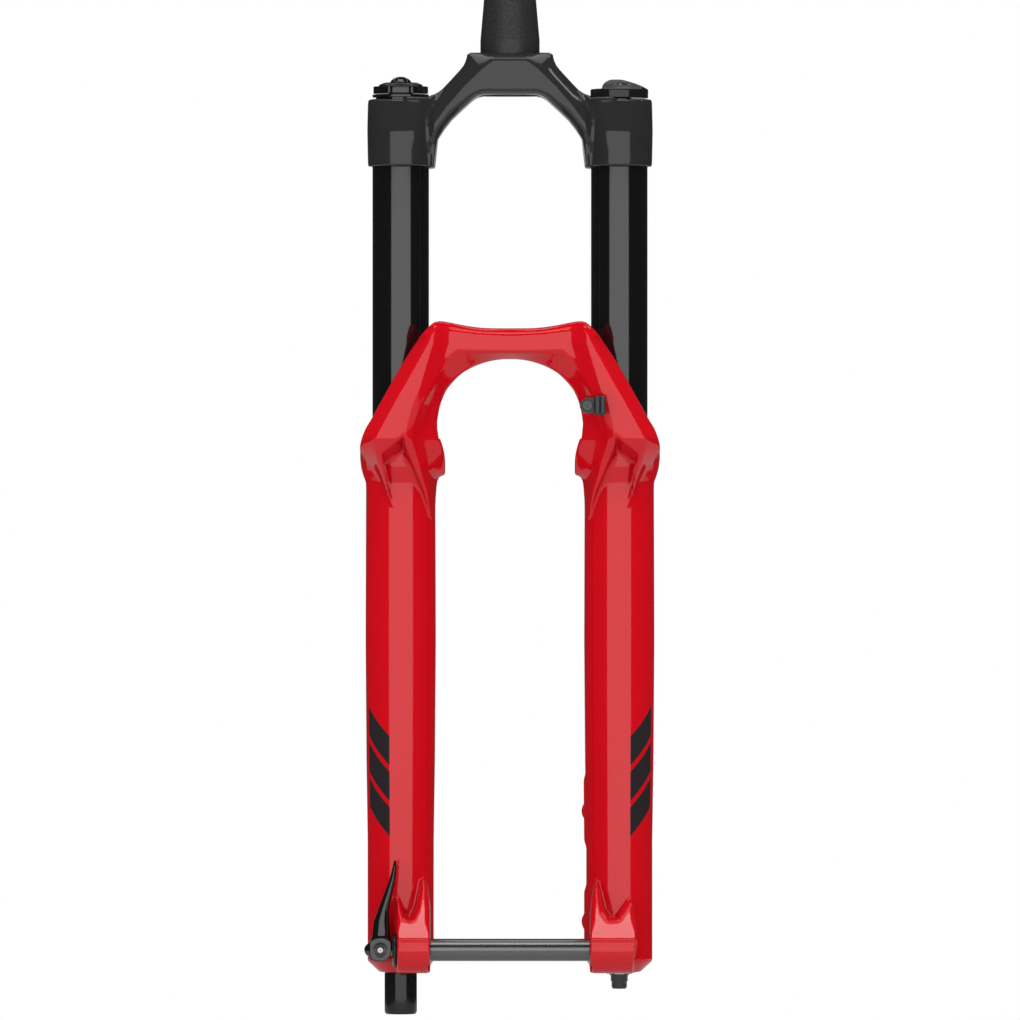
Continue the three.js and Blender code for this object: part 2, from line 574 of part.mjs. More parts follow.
// The outer knob: a notched rim with a smaller serrated ring on top.
function compressionKnob() {
  const rim = ring(KNOB_RADIUS, SPIGOT_RADIUS + FIT, KNOB_BASE, KNOB_TOP);
  const crest = ring(KNOB_CREST_RADIUS, CENTRE_KNOB_RADIUS + FIT + 0.15, KNOB_TOP - 1.2, KNOB_TOP + 1.8);
  const notches = Array.from({ length: KNOB_NOTCHES }, (_, i) => {
    const angle = ((i + 0.5) / KNOB_NOTCHES) * Math.PI * 2;
    return rod(0.8, KNOB_BASE + 1.2, KNOB_TOP + 1, 6, KNOB_RADIUS * Math.cos(angle), KNOB_RADIUS * Math.sin(angle));
  });
  return notches.reduce((body, notch) => body.subtract(notch), rim.add(crest));
}

// The inner knob: a dome with a flat-sided grip scooped out of both sides.
function centreKnob() {
  const dome = turned([
    [3, KNOB_TOP - 1.2], [CENTRE_KNOB_RADIUS, KNOB_TOP - 1.2], [CENTRE_KNOB_RADIUS, KNOB_TOP + 3.4], [6, KNOB_TOP + 5.6], [3.4, KNOB_TOP + 6.8],
    [0, KNOB_TOP + 6.8], [0, KNOB_TOP + 1], [3, KNOB_TOP + 1],
  ], SMALL_SIDES);
  const scoop = (side) => box(-8, 8, side > 0 ? 2 : -9, side > 0 ? 9 : -2, KNOB_TOP + 2.4, KNOB_TOP + 8);
  return dome.subtract(scoop(1)).subtract(scoop(-1));
}

const CARTRIDGE_TOP = CAP_PLUG_END - FIT;
const SEAL_HEAD_TOP = STANCHION_END + 20;
const SPRING_CHAMBER = 68; // from the top cap down to the base valve
const BASE_VALVE_TOP = CAP_PLUG_END - SPRING_CHAMBER;
const IFP_REST = BASE_VALVE_TOP + 12;
const IFP_HEIGHT = 9;
const PORT_CIRCLE = 8.5;
const CARTRIDGE_RADIUS = STANCHION_BORE - CARTRIDGE_CLEARANCE;
const CARTRIDGE_BORE = CARTRIDGE_RADIUS - CARTRIDGE_WALL;

const cartridgeTube = () => ring(CARTRIDGE_RADIUS, CARTRIDGE_BORE, SEAL_HEAD_TOP + FIT, CARTRIDGE_TOP);

function baseValve() {
  const body = rod(CARTRIDGE_BORE - FIT, BASE_VALVE_TOP - 8, BASE_VALVE_TOP);
  const ports = [0, 1, 2, 3].map((i) => {
    const angle = (i / 4) * Math.PI * 2;
    return rod(2, BASE_VALVE_TOP - 10, BASE_VALVE_TOP + 2, 10, PORT_CIRCLE * Math.cos(angle), PORT_CIRCLE * Math.sin(angle));
  });
  return ports.reduce((left, port) => left.subtract(port), body);
}

function floatingPiston() {
  return turned([
    [0, IFP_REST], [CARTRIDGE_BORE - FIT, IFP_REST], [CARTRIDGE_BORE - FIT, IFP_REST + IFP_HEIGHT],
    [9, IFP_REST + IFP_HEIGHT], [9, IFP_REST + 4], [0, IFP_REST + 4],
  ]);
}

// The coil that presses on the floating piston, from the piston up to the top cap.
class Helix extends THREE.Curve {
  constructor(radius, low, high, turns) {
    super();
    Object.assign(this, { radius, low, high, turns });
  }

  getPoint(t, target = new THREE.Vector3()) {
    const angle = t * this.turns * Math.PI * 2;
    const height = this.low + (this.high - this.low) * t;
    return target.set(this.radius * Math.cos(angle), this.radius * Math.sin(angle), height);
  }
}

function pistonSpring() {
  const turns = 6;
  const wireRadius = 0.8;
  const end = wireRadius + 0.4;
  const wire = new THREE.Shape().absarc(0, 0, wireRadius, 0, Math.PI * 2);
  const path = new Helix(CARTRIDGE_BORE - 2.2, IFP_REST + IFP_HEIGHT + end, CARTRIDGE_TOP - end, turns);
  const coil = { steps: turns * 10, extrudePath: path, curveSegments: 3, bevelEnabled: false };
  return solid(new THREE.ExtrudeGeometry(wire, coil));
}

// Closes the lower end of the stanchion round the rod. The damper and the air spring have one each.
function sealHead() {
  return ring(STANCHION_BORE - FIT, ROD_RADIUS + FIT, STANCHION_END + 4.6 + FIT, SEAL_HEAD_TOP);
}

const ROD_TOP = SEAL_HEAD_TOP + 16;
const ROD_END = FLOOR_Z + FIT;
const NEEDLE_RADIUS = 1.6;

// Hollow rod, open at both ends for the rebound needle and the foot bolt.
const damperRod = () => ring(ROD_RADIUS, NEEDLE_RADIUS + FIT, ROD_END, ROD_TOP, SMALL_SIDES);

function reboundPiston() {
  return turned([
    [NEEDLE_RADIUS + FIT, ROD_TOP + FIT], [CARTRIDGE_BORE - FIT, ROD_TOP + FIT],
    [CARTRIDGE_BORE - FIT, ROD_TOP + 8], [7, ROD_TOP + 8], [7, ROD_TOP + 12], [NEEDLE_RADIUS + FIT, ROD_TOP + 12],
  ]);
}

// Hollow bolt that pulls the rod down onto the floor of the leg.
function damperFootBolt() {
  return turned([
    [NEEDLE_RADIUS + FIT, FOOT_Z - 7], [7.2, FOOT_Z - 7], [7.2, FOOT_Z - 1.6],
    [BOLT_RADIUS, FOOT_Z - 1.6], [BOLT_RADIUS, FLOOR_Z], [NEEDLE_RADIUS + FIT, FLOOR_Z],
  ], SMALL_SIDES);
}

const crushWasher = () => ring(WASHER_RADIUS, BOLT_RADIUS + FIT, FOOT_Z - 1.3, FOOT_Z - FIT, SMALL_SIDES);

const WASHER_RADIUS = 8.6;
const COVER_END = FOOT_Z - 28.3;
const COVER_RADIUS = 10.85;

// The rebound knob stands under the foot bolt. Its needle runs up the rod to the piston.
const reboundNeedle = () => rod(NEEDLE_RADIUS, FOOT_Z - 12, ROD_TOP + 10, 10);

function reboundKnob() {
  const grip = turned([
    [0, COVER_END + 6], [6, COVER_END + 6], [7, COVER_END + 7.5], [7, FOOT_Z - 8.5], [5, FOOT_Z - 7 - FIT],
    [NEEDLE_RADIUS + FIT, FOOT_Z - 7 - FIT], [NEEDLE_RADIUS + FIT, FOOT_Z - 12 - FIT], [0, FOOT_Z - 12 - FIT],
  ], SMALL_SIDES);
  const flutes = Array.from({ length: 6 }, (_, i) => {
    const angle = (i / 6) * Math.PI * 2;
    return rod(1.4, COVER_END, FOOT_Z - 10, 8, 7.6 * Math.cos(angle), 7.6 * Math.sin(angle));
  });
  return flutes.reduce((body, flute) => body.subtract(flute), grip);
}

function reboundCover() {
  return turned([
    [0, COVER_END], [COVER_RADIUS - 1.4, COVER_END], [COVER_RADIUS - 0.4, COVER_END + 0.5],
    [COVER_RADIUS, COVER_END + 1.6], [COVER_RADIUS, FOOT_Z - FIT],
    [COVER_RADIUS - 1.6, FOOT_Z - FIT], [COVER_RADIUS - 1.6, COVER_END + 2.4], [0, COVER_END + 2.4],
  ]);
}

// ---------------------------------------------------------------------------------------------
// Air spring, in the +X leg
// ---------------------------------------------------------------------------------------------

const VALVE_RADIUS = 3.9;
const VALVE_TOP = CAP_SEAT + 8.3;
const AIR_CAP_RADIUS = STANCHION_RADIUS + 0.4;
const AIR_CAP_BASE_TOP = CAP_SEAT + 5.1;

// Threaded plug with the air valve standing on it.
function airTopCap() {
  return turned([
    [0, CAP_PLUG_END],
    [STANCHION_BORE - FIT, CAP_PLUG_END],
    [STANCHION_BORE - FIT, CAP_SEAT - 1.2],
    [VALVE_RADIUS + 4, CAP_SEAT - 1.2],
    [VALVE_RADIUS, CAP_SEAT + 2],
    [VALVE_RADIUS, VALVE_TOP],
    [2.6, VALVE_TOP],
    [2.6, CAP_SEAT - 6],
    [0, CAP_SEAT - 6],
  ]);
}

function valveCore() {
  return turned([
    [0, CAP_SEAT - 6 + FIT], [2.3, CAP_SEAT - 6 + FIT], [2.3, VALVE_TOP - 1.4], [0.9, VALVE_TOP - 1.4],
    [0.9, VALVE_TOP - 0.4], [0, VALVE_TOP - 0.4],
  ], 12);
}

// Plastic cover over the valve: a round base and a lopsided fin, steep inboard and falling away outboard.
function airCap() {
  const base = turned([
    [0, CAP_SEAT - 0.5], [AIR_CAP_RADIUS, CAP_SEAT - 0.5], [AIR_CAP_RADIUS, AIR_CAP_BASE_TOP],
    [AIR_CAP_RADIUS - 0.8, AIR_CAP_BASE_TOP + 0.6], [0, AIR_CAP_BASE_TOP + 0.6],
  ]);
  const reach = AIR_CAP_RADIUS - 0.4;
  const outline = new THREE.Shape().moveTo(-11.2, AIR_CAP_BASE_TOP - 0.2);
  outline.lineTo(-9.6, AIR_CAP_BASE_TOP + 3.8);
  outline.quadraticCurveTo(-7.6, AIR_CAP_BASE_TOP + 6.7, -3, AIR_CAP_BASE_TOP + 6.8);
  outline.quadraticCurveTo(6, AIR_CAP_BASE_TOP + 6.4, reach, AIR_CAP_BASE_TOP + 0.4);
  outline.lineTo(reach, AIR_CAP_BASE_TOP - 0.2);
  const fin = seenFromFront(outline, -reach, reach).intersect(turned([
    [0, AIR_CAP_BASE_TOP - 1.2], [reach, AIR_CAP_BASE_TOP - 1.2], [reach, AIR_CAP_BASE_TOP + 0.4],
    [reach - 4, AIR_CAP_BASE_TOP + 4.8], [reach - 7, AIR_CAP_BASE_TOP + 7.8], [0, AIR_CAP_BASE_TOP + 7.8],
  ]));
  const hollow = rod(VALVE_RADIUS + 4.6, CAP_SEAT - 5, VALVE_TOP + 0.8, SMALL_SIDES);
  return base.add(fin).subtract(hollow);
}

// Plastic tokens clipped under the top cap, which fill part of the air chamber.
const SPACER_HEIGHT = 12;
const SPACER_RADIUS = STANCHION_BORE - 4;

function volumeSpacer(index) {
  const top = CAP_PLUG_END - FIT - index * (SPACER_HEIGHT + FIT);
  return rod(SPACER_RADIUS, top - SPACER_HEIGHT, top, SMALL_SIDES);
}

const AIR_PISTON_BASE = SEAL_HEAD_TOP + 16;
const PISTON_HEIGHT = 11;
const RING_Z = AIR_PISTON_BASE + PISTON_HEIGHT / 2;

function airPiston() {
  const radius = STANCHION_BORE - FIT;
  return turned([
    [0, AIR_PISTON_BASE], [radius, AIR_PISTON_BASE], [radius, RING_Z - 1.7], [radius - 2.4, RING_Z - 1.7],
    [radius - 2.4, RING_Z + 1.7], [radius, RING_Z + 1.7], [radius, AIR_PISTON_BASE + PISTON_HEIGHT],
    [0, AIR_PISTON_BASE + PISTON_HEIGHT],
  ]);
}

const airPistonRing = () => ring(STANCHION_BORE - FIT, STANCHION_BORE - 2.4, RING_Z - 1.4, RING_Z + 1.4);
const airShaft = () => ring(ROD_RADIUS, ROD_RADIUS - 2, ROD_END, AIR_PISTON_BASE - FIT, SMALL_SIDES);
const topOutBumper = () => ring(ROD_RADIUS + 3.5, ROD_RADIUS + FIT, SEAL_HEAD_TOP + 1, AIR_PISTON_BASE - 1, SMALL_SIDES);
const bottomOutBumper = () => ring(ROD_RADIUS + 6, ROD_RADIUS + FIT, FLOOR_Z + FIT, FLOOR_Z + 4.5, SMALL_SIDES);

// Snap ring that holds a seal head up inside the stanchion, open at its gap.
function circlip() {
  const hoop = ring(STANCHION_BORE + 0.6, STANCHION_BORE - 2, STANCHION_END + 3.3, STANCHION_END + 4.3);
  return hoop.subtract(box(0, 30, -3, 3, STANCHION_END, STANCHION_END + 10));
}

function airFootBolt() {
  return turned([
    [0, FOOT_Z - 11.3], [4.55, FOOT_Z - 11.3], [5.15, FOOT_Z - 9.9], [5.15, FOOT_Z - 6.3], [5.75, FOOT_Z - 6.3],
    [5.75, FOOT_Z - 2.3], [6.5, FOOT_Z - 2.3], [6.5, FOOT_Z - 1.6], [BOLT_RADIUS, FOOT_Z - 1.6],
    [BOLT_RADIUS, FLOOR_Z], [0, FLOOR_Z],
  ], SMALL_SIDES);
}

// ---------------------------------------------------------------------------------------------
// Through axle: tube, cup, lever, pin and nut
// ---------------------------------------------------------------------------------------------

const NUT_RADIUS = AXLE_RADIUS + 2.5;
const CUP_RADIUS = AXLE_RADIUS + 4.5;
const CUP_THICKNESS = 3.1;
const CUP_OUTER = DAMPER_DROPOUT_OUTER + FIT + CUP_THICKNESS;
const PIN_RADIUS = 2.1;
const TONGUE = 3; // half thickness of the axle's flat end
const HEAD_RADIUS = 7.6;
const PIVOT_X = -(CUP_OUTER + FIT + HEAD_RADIUS);
const LEVER_HALF_WIDTH = AXLE_RADIUS + 1; // its cam bears on the cup outside the axle's hole

// The tube ends in a flat tongue that the lever's pin passes through.
function axleTube() {
  const tube = rodAlongX(AXLE_RADIUS, -CUP_OUTER + 1, HUB_SEAT + 26, AXLE_Y, AXLE_Z, SIDES);
  const bore = rodAlongX(AXLE_RADIUS - 2.2, -DAMPER_DROPOUT_OUTER + 8, HUB_SEAT + 40, AXLE_Y, AXLE_Z, SIDES);
  const tongueEnd = PIVOT_X - 4;
  const tongue = box(tongueEnd, -CUP_OUTER + 3, AXLE_Y - TONGUE, AXLE_Y + TONGUE, AXLE_Z - 4, AXLE_Z + 4);
  const pinHole = rodAlongY(PIN_RADIUS + FIT, AXLE_Y - 20, AXLE_Y + 20, PIVOT_X, AXLE_Z);
  return tube.add(tongue).subtract(bore).subtract(pinHole);
}

// Dished washer between the lever's cam and the dropout.
function camCup() {
  const from = -CUP_OUTER;
  const disc = rodAlongX(CUP_RADIUS, from, -DAMPER_DROPOUT_OUTER - FIT, AXLE_Y, AXLE_Z, SIDES);
  return disc.subtract(rodAlongX(AXLE_HOLE, from - 5, from + 10, AXLE_Y, AXLE_Z, SIDES));
}

// The lever: a forked eye on the pin and a blade that curves up along the leg, here closed.
function leverHub() {
  const eye = rodAlongY(HEAD_RADIUS, AXLE_Y - LEVER_HALF_WIDTH, AXLE_Y + LEVER_HALF_WIDTH, PIVOT_X, AXLE_Z, 20);
  const dome = rodAlongX(5.4, PIVOT_X - 10.9, PIVOT_X, AXLE_Y, AXLE_Z, 20);
  return eye.add(dome);
}

// Blade stations: height above the axle, outer and inner face from the pivot, and half width front to back.
const BLADE = [
  [2, -6.5, 4.5, 8], [9, -5.6, 4.3, 7.6], [19.4, -4.2, 3.7, 7], [26, -1.9, 5, 6.6], [31, 0.1, 6.3, 6.2],
  [40.3, 3.6, 8.6, 5.4], [48.4, 6.5, 10.4, 4.6], [56.4, 8.4, 10.7, 3.6], [60, 9.4, 10.3, 2],
];

function leverBlade() {
  const section = ([height, outer, inner, width]) => [outer, inner].flatMap((x) => [-1, 1].map((side) => (
    [PIVOT_X + x, AXLE_Y + side * width, AXLE_Z + height]
  )));
  return joined(BLADE.slice(1).map((station, i) => hull([...section(BLADE[i]), ...section(station)])));
}

function axleLever() {
  const slotEnd = HEAD_RADIUS + 1.4;
  const slot = box(
    PIVOT_X - 7, PIVOT_X + 12, AXLE_Y - TONGUE - FIT, AXLE_Y + TONGUE + FIT, AXLE_Z - 12, AXLE_Z + slotEnd,
  );
  const pinHole = rodAlongY(PIN_RADIUS + FIT, AXLE_Y - 20, AXLE_Y + 20, PIVOT_X, AXLE_Z);
  return leverHub().add(leverBlade()).subtract(slot).subtract(pinHole);
}

const leverPin = () => rodAlongY(
  PIN_RADIUS, AXLE_Y - LEVER_HALF_WIDTH - 0.3, AXLE_Y + LEVER_HALF_WIDTH + 0.3, PIVOT_X, AXLE_Z,
);

// Flanged nut in the brake-side dropout that the axle screws into.
function axleNut() {
  const body = rodAlongX(NUT_RADIUS, HUB_SEAT + 9 + FIT, BRAKE_DROPOUT_OUTER, AXLE_Y, AXLE_Z, SIDES);
  return body.subtract(rodAlongX(AXLE_HOLE, HUB_SEAT, BRAKE_DROPOUT_OUTER + 5, AXLE_Y, AXLE_Z, SIDES));
}

// ---------------------------------------------------------------------------------------------
// Brake hose guide on the arch
// ---------------------------------------------------------------------------------------------

const GUIDE_HALF_HEIGHT = 6.35;
const GUIDE_FRONT = GUIDE_REAR - 8;

// A round-ended foot under the screw and an upright channel beside it.
function hoseGuide() {
  const { x, z } = GUIDE_SCREW;
  const foot = new THREE.Shape().moveTo(x, z - 5.2);
  foot.lineTo(x + 8, z - 5.2);
  foot.lineTo(x + 8, z + 5.2);
  foot.lineTo(x, z + 5.2);
  foot.absarc(x, z, 5.1, Math.PI / 2, Math.PI * 1.5, false);
  const base = seenFromFront(foot, GUIDE_REAR - 4.4, GUIDE_REAR);
  const channel = box(x + 4.6, x + 12.3, GUIDE_FRONT, GUIDE_REAR, z - GUIDE_HALF_HEIGHT, z + GUIDE_HALF_HEIGHT);
  const bore = rod(2.6, z - 20, z + 20, SMALL_SIDES, x + 8.5, GUIDE_REAR - 4);
  const mouth = box(x + 7.4, x + 9.6, GUIDE_FRONT - 5, GUIDE_REAR - 4, z - 20, z + 20);
  const screwHole = rodAlongY(2, GUIDE_FRONT - 5, GUIDE_REAR + 5, x, z, 12);
  return base.add(channel).subtract(bore).subtract(mouth).subtract(screwHole);
}

function hoseGuideScrew() {
  const { x, z } = GUIDE_SCREW;
  const seat = GUIDE_REAR - 4.4 - FIT;
  const head = rodAlongY(3.3, seat - 2.2, seat, x, z);
  const shank = rodAlongY(1.5, seat - 1, GUIDE_REAR + 6, x, z, 12);
  const socket = rodAlongY(1.5, seat - 4, seat - 1, x, z, 6);
  return head.add(shank).subtract(socket);
}

// ---------------------------------------------------------------------------------------------
// Assembly
// ---------------------------------------------------------------------------------------------

const fork = new THREE.Group();
const damperLeg = new THREE.Group();
const airLeg = new THREE.Group();
damperLeg.position.set(-HALF, LEG_Y, 0);
airLeg.position.set(HALF, LEG_Y, 0);
fork.add(damperLeg, airLeg);

function place(parent, name, body, material) {
  const { vertProperties, triVerts } = body.getMesh();
  const geometry = new THREE.BufferGeometry();
  geometry.setAttribute('position', new THREE.BufferAttribute(vertProperties, 3));
  geometry.setIndex(new THREE.BufferAttribute(triVerts, 1));
  geometry.computeVertexNormals();
  const mesh = new THREE.Mesh(geometry, material);
  mesh.name = name;
  parent.add(mesh);
}

place(fork, 'steerer_tube', steererTube(), steererAlloy());
place(fork, 'crown', crown(), blackPaint());
place(fork, 'lower_casting', lowerCasting(), redPaint());

for (const [leg, side] of [[damperLeg, 'damper'], [airLeg, 'air']]) {
  place(leg, `${side}_stanchion`, stanchion(), blackAnodised());
  place(leg, `${side}_dust_wiper`, dustWiper(), rubber());
  place(leg, `${side}_wiper_garter_spring`, garterSpring(), steel());
  place(leg, `${side}_foam_ring`, foamRing(), foam());
  place(leg, `${side}_upper_bushing`, bushing(UPPER_BUSHING_TOP), bronze());
  place(leg, `${side}_lower_bushing`, bushing(LOWER_BUSHING_TOP), bronze());
  place(leg, `${side}_seal_head`, sealHead(), alloy());
  place(leg, `${side}_circlip`, circlip(), steel());
  place(leg, `${side}_crush_washer`, crushWasher(), alloy());
}

place(damperLeg, 'damper_top_cap', damperTopCap(), blackAnodised());
place(damperLeg, 'compression_knob', compressionKnob(), blackAnodised());
place(damperLeg, 'centre_knob', centreKnob(), blackAnodised());
place(damperLeg, 'damper_cartridge_tube', cartridgeTube(), alloy());
place(damperLeg, 'base_valve', baseValve(), alloy());
place(damperLeg, 'floating_piston', floatingPiston(), plastic());
place(damperLeg, 'floating_piston_spring', pistonSpring(), steel());
place(damperLeg, 'damper_rod', damperRod(), steel());
place(damperLeg, 'rebound_piston', reboundPiston(), alloy());
place(damperLeg, 'damper_foot_bolt', damperFootBolt(), blackAnodised());
place(damperLeg, 'rebound_needle', reboundNeedle(), steel());
place(damperLeg, 'rebound_knob', reboundKnob(), blackAnodised());
place(damperLeg, 'rebound_cover', reboundCover(), glossPlastic());

place(airLeg, 'air_top_cap', airTopCap(), blackAnodised());
place(airLeg, 'valve_core', valveCore(), steel());
place(airLeg, 'air_cap', airCap(), glossPlastic());
place(airLeg, 'volume_spacer_1', volumeSpacer(0), plastic());
place(airLeg, 'volume_spacer_2', volumeSpacer(1), plastic());
place(airLeg, 'air_piston', airPiston(), plastic());
place(airLeg, 'air_piston_ring', airPistonRing(), rubber());
place(airLeg, 'air_shaft', airShaft(), alloy());
place(airLeg, 'top_out_bumper', topOutBumper(), rubber());
place(airLeg, 'bottom_out_bumper', bottomOutBumper(), rubber());
place(airLeg, 'air_foot_bolt', airFootBolt(), blackAnodised());

place(fork, 'axle_tube', axleTube(), blackAnodised());
place(fork, 'axle_cam_cup', camCup(), blackPaint());
place(fork, 'axle_lever', axleLever(), blackPaint());
place(fork, 'axle_lever_pin', leverPin(), steel());
place(fork, 'axle_nut', axleNut(), alloy());
place(fork, 'hose_guide', hoseGuide(), plastic());
place(fork, 'hose_guide_screw', hoseGuideScrew(), steel());

export default fork;
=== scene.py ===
# %% [markdown]
# # The looks of a mountain-bike suspension fork
#
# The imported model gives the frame: every size below is read from it, and the new pieces are fine surfaces
# that stand for its plain solids. Lengths are worked out in millimetres and stored in metres.

import json
import math

import bpy
import numpy as np
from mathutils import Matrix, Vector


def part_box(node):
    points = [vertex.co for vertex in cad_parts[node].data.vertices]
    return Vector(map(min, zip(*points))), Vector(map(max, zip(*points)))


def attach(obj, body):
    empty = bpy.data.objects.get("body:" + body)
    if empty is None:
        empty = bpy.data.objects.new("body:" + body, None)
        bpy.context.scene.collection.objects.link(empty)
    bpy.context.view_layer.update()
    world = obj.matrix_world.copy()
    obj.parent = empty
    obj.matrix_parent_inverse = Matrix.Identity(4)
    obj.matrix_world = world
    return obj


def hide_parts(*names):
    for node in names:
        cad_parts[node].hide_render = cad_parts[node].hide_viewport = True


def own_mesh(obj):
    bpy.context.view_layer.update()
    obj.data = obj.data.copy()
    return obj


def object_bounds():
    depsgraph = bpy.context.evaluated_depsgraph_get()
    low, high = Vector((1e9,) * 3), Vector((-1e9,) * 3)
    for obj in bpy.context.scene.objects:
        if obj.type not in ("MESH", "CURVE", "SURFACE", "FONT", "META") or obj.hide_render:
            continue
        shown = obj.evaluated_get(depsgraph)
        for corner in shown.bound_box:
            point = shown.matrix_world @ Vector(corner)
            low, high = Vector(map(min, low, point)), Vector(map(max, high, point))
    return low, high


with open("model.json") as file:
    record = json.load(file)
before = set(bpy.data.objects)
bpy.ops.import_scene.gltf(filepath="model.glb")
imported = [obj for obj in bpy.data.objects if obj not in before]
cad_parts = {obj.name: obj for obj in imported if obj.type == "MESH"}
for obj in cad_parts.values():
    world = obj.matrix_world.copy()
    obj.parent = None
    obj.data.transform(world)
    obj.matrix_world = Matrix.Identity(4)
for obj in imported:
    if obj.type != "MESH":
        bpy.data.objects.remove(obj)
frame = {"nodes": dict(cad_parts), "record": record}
cad_bounds = [list(corner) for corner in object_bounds()]
MM = 0.001


def box(node):
    """A node's lowest and highest corners in millimetres."""
    return [np.array(corner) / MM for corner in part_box(node)]


def middle(node):
    low, high = box(node)
    return (low + high) / 2


HALF, LEG_Y, _ = middle("air_stanchion")  # the air leg's axis; the damper leg is its mirror
STANCHION_R = (box("air_stanchion")[1][0] - box("air_stanchion")[0][0]) / 2
SEAL_Z = box("air_dust_wiper")[1][2]
FOOT_Z = box("lower_casting")[0][2]
AXLE_Y, AXLE_Z = middle("axle_nut")[1:]
EAR_R = box("crown")[1][0] - HALF
print("leg axis", HALF, LEG_Y, "seal", SEAL_Z, "axle", AXLE_Y, AXLE_Z)

# %% [markdown]
# ## Camera, light and floor
#
# A fork is shown in a studio with one wide softbox in front of it. On round tubes that box becomes a bright
# strip with crisp edges, and everything beside it stays dark. A long lens keeps the legs parallel. The
# surroundings light the paint evenly from all round, but only a little of them shows in the gloss.

# %% Camera
LENS = 400.0
SENSOR = 36.0
FRAME_WIDTH = 0.6844
VIEW_HEIGHT = -0.3066
camera_data = bpy.data.cameras.new("camera")
camera_data.lens = LENS
camera_data.sensor_width = SENSOR
camera_data.clip_end = 100.0
camera = bpy.data.objects.new("camera", camera_data)
camera.location = (0.0, LEG_Y * MM - FRAME_WIDTH * LENS / SENSOR, VIEW_HEIGHT)
camera.rotation_euler = (math.radians(90), 0.0, 0.0)
bpy.context.scene.collection.objects.link(camera)
bpy.context.scene.camera = camera
bpy.context.scene.view_settings.view_transform = "Standard"


# %% Softboxes
def softbox(name, place, size, radiance, turn):
    """An area light. Its power is radiance times pi times its area."""
    light = bpy.data.lights.new(name, "AREA")
    light.shape = "RECTANGLE"
    light.size, light.size_y = size
    light.energy = radiance * math.pi * size[0] * size[1]
    lamp = bpy.data.objects.new(name, light)
    lamp.location = place
    lamp.rotation_euler = turn
    lamp.visible_camera = False
    bpy.context.scene.collection.objects.link(lamp)
    return lamp


softbox("front_softbox", (0.0, -2.0, -0.325), (3.3, 1.25), 1.45, (math.radians(90), 0, 0))
softbox("top_softbox", (0.0, -1.0, 1.5), (1.5, 0.3), 4.0, (math.radians(30), 0, 0))
softbox("overhead_softbox", (0.0, 0.1, 1.3), (1.6, 2.0), 1.2, (0, 0, 0))
softbox("side_softbox", (1.3, 0.45, 1.25), (0.3, 0.3), 3.2, (math.radians(-20), math.radians(46), 0))
softbox("rear_softbox", (0.0, 2.2, -0.2), (1.3, 1.9), 0.4, (math.radians(-90), 0, 0))

# %% Surroundings and floor
world = bpy.data.worlds.new("studio")
world.use_nodes = True
bpy.context.scene.world = world
nodes, links = world.node_tree.nodes, world.node_tree.links
nodes.clear()
rays = nodes.new("ShaderNodeLightPath")


def surrounding(strength):
    """Plain white from every side."""
    made = nodes.new("ShaderNodeBackground")
    made.inputs["Color"].default_value = (1, 1, 1, 1)
    made.inputs["Strength"].default_value = strength
    return made.outputs["Background"]


def for_rays(kind, others, these):
    """These surroundings for one kind of ray, and the others for the rest."""
    made = nodes.new("ShaderNodeMixShader")
    for socket, value in zip(made.inputs, (rays.outputs[kind], others, these)):
        links.new(value, socket)
    return made.outputs["Shader"]


gloss = for_rays("Is Glossy Ray", surrounding(0.86), surrounding(0.03))
sight = for_rays("Is Camera Ray", gloss, surrounding(1.0))
links.new(sight, nodes.new("ShaderNodeOutputWorld").inputs["Surface"])

FLOOR_DROP = 0.06
floor_low = cad_bounds[0][2] - FLOOR_DROP
floor_mesh = bpy.data.meshes.new("floor")
floor_corners = [(x, y, floor_low) for x, y in ((-1, -1.2), (1, -1.2), (1, 1), (-1, 1))]
floor_mesh.from_pydata(floor_corners, [], [(0, 1, 2, 3)])
floor = bpy.data.objects.new("floor", floor_mesh)
bpy.context.scene.collection.objects.link(floor)

# %% [markdown]
# ## Shader expressions
#
# Shader maths reads best as maths. Value wraps a node's output, so a + b or 1 - mask adds the Math node, and
# Paint makes one material and any node in it.


# %% Value and Paint
class Value:
    """A number that varies over a surface: the output socket of a node, with operators."""

    def __init__(self, paint, socket):
        self.paint, self.socket = paint, socket

    def _math(self, operation, *others):
        inputs = {i: other for i, other in enumerate(others)}
        return self.paint.node("ShaderNodeMath", {"operation": operation}, inputs)

    def __add__(self, other): return self._math("ADD", self, other)
    def __radd__(self, other): return self._math("ADD", other, self)
    def __sub__(self, other): return self._math("SUBTRACT", self, other)
    def __rsub__(self, other): return self._math("SUBTRACT", other, self)
    def __mul__(self, other): return self._math("MULTIPLY", self, other)
    def __rmul__(self, other): return self._math("MULTIPLY", other, self)
    def __truediv__(self, other): return self._math("DIVIDE", self, other)
    def __gt__(self, other): return self._math("GREATER_THAN", self, other)
    def __lt__(self, other): return self._math("LESS_THAN", self, other)
    def smaller(self, other): return self._math("MINIMUM", self, other)
    def size(self): return self._math("ABSOLUTE", self)
    def turn(self, other): return self._math("ARCTAN2", self, other)

    def step(self, low, high):
        """0 below low, 1 above high, and a smooth rise between."""
        settings = {"interpolation_type": "SMOOTHSTEP"}
        inputs = {"Value": self, "From Min": low, "From Max": high}
        return self.paint.node("ShaderNodeMapRange", settings, inputs, "Result")


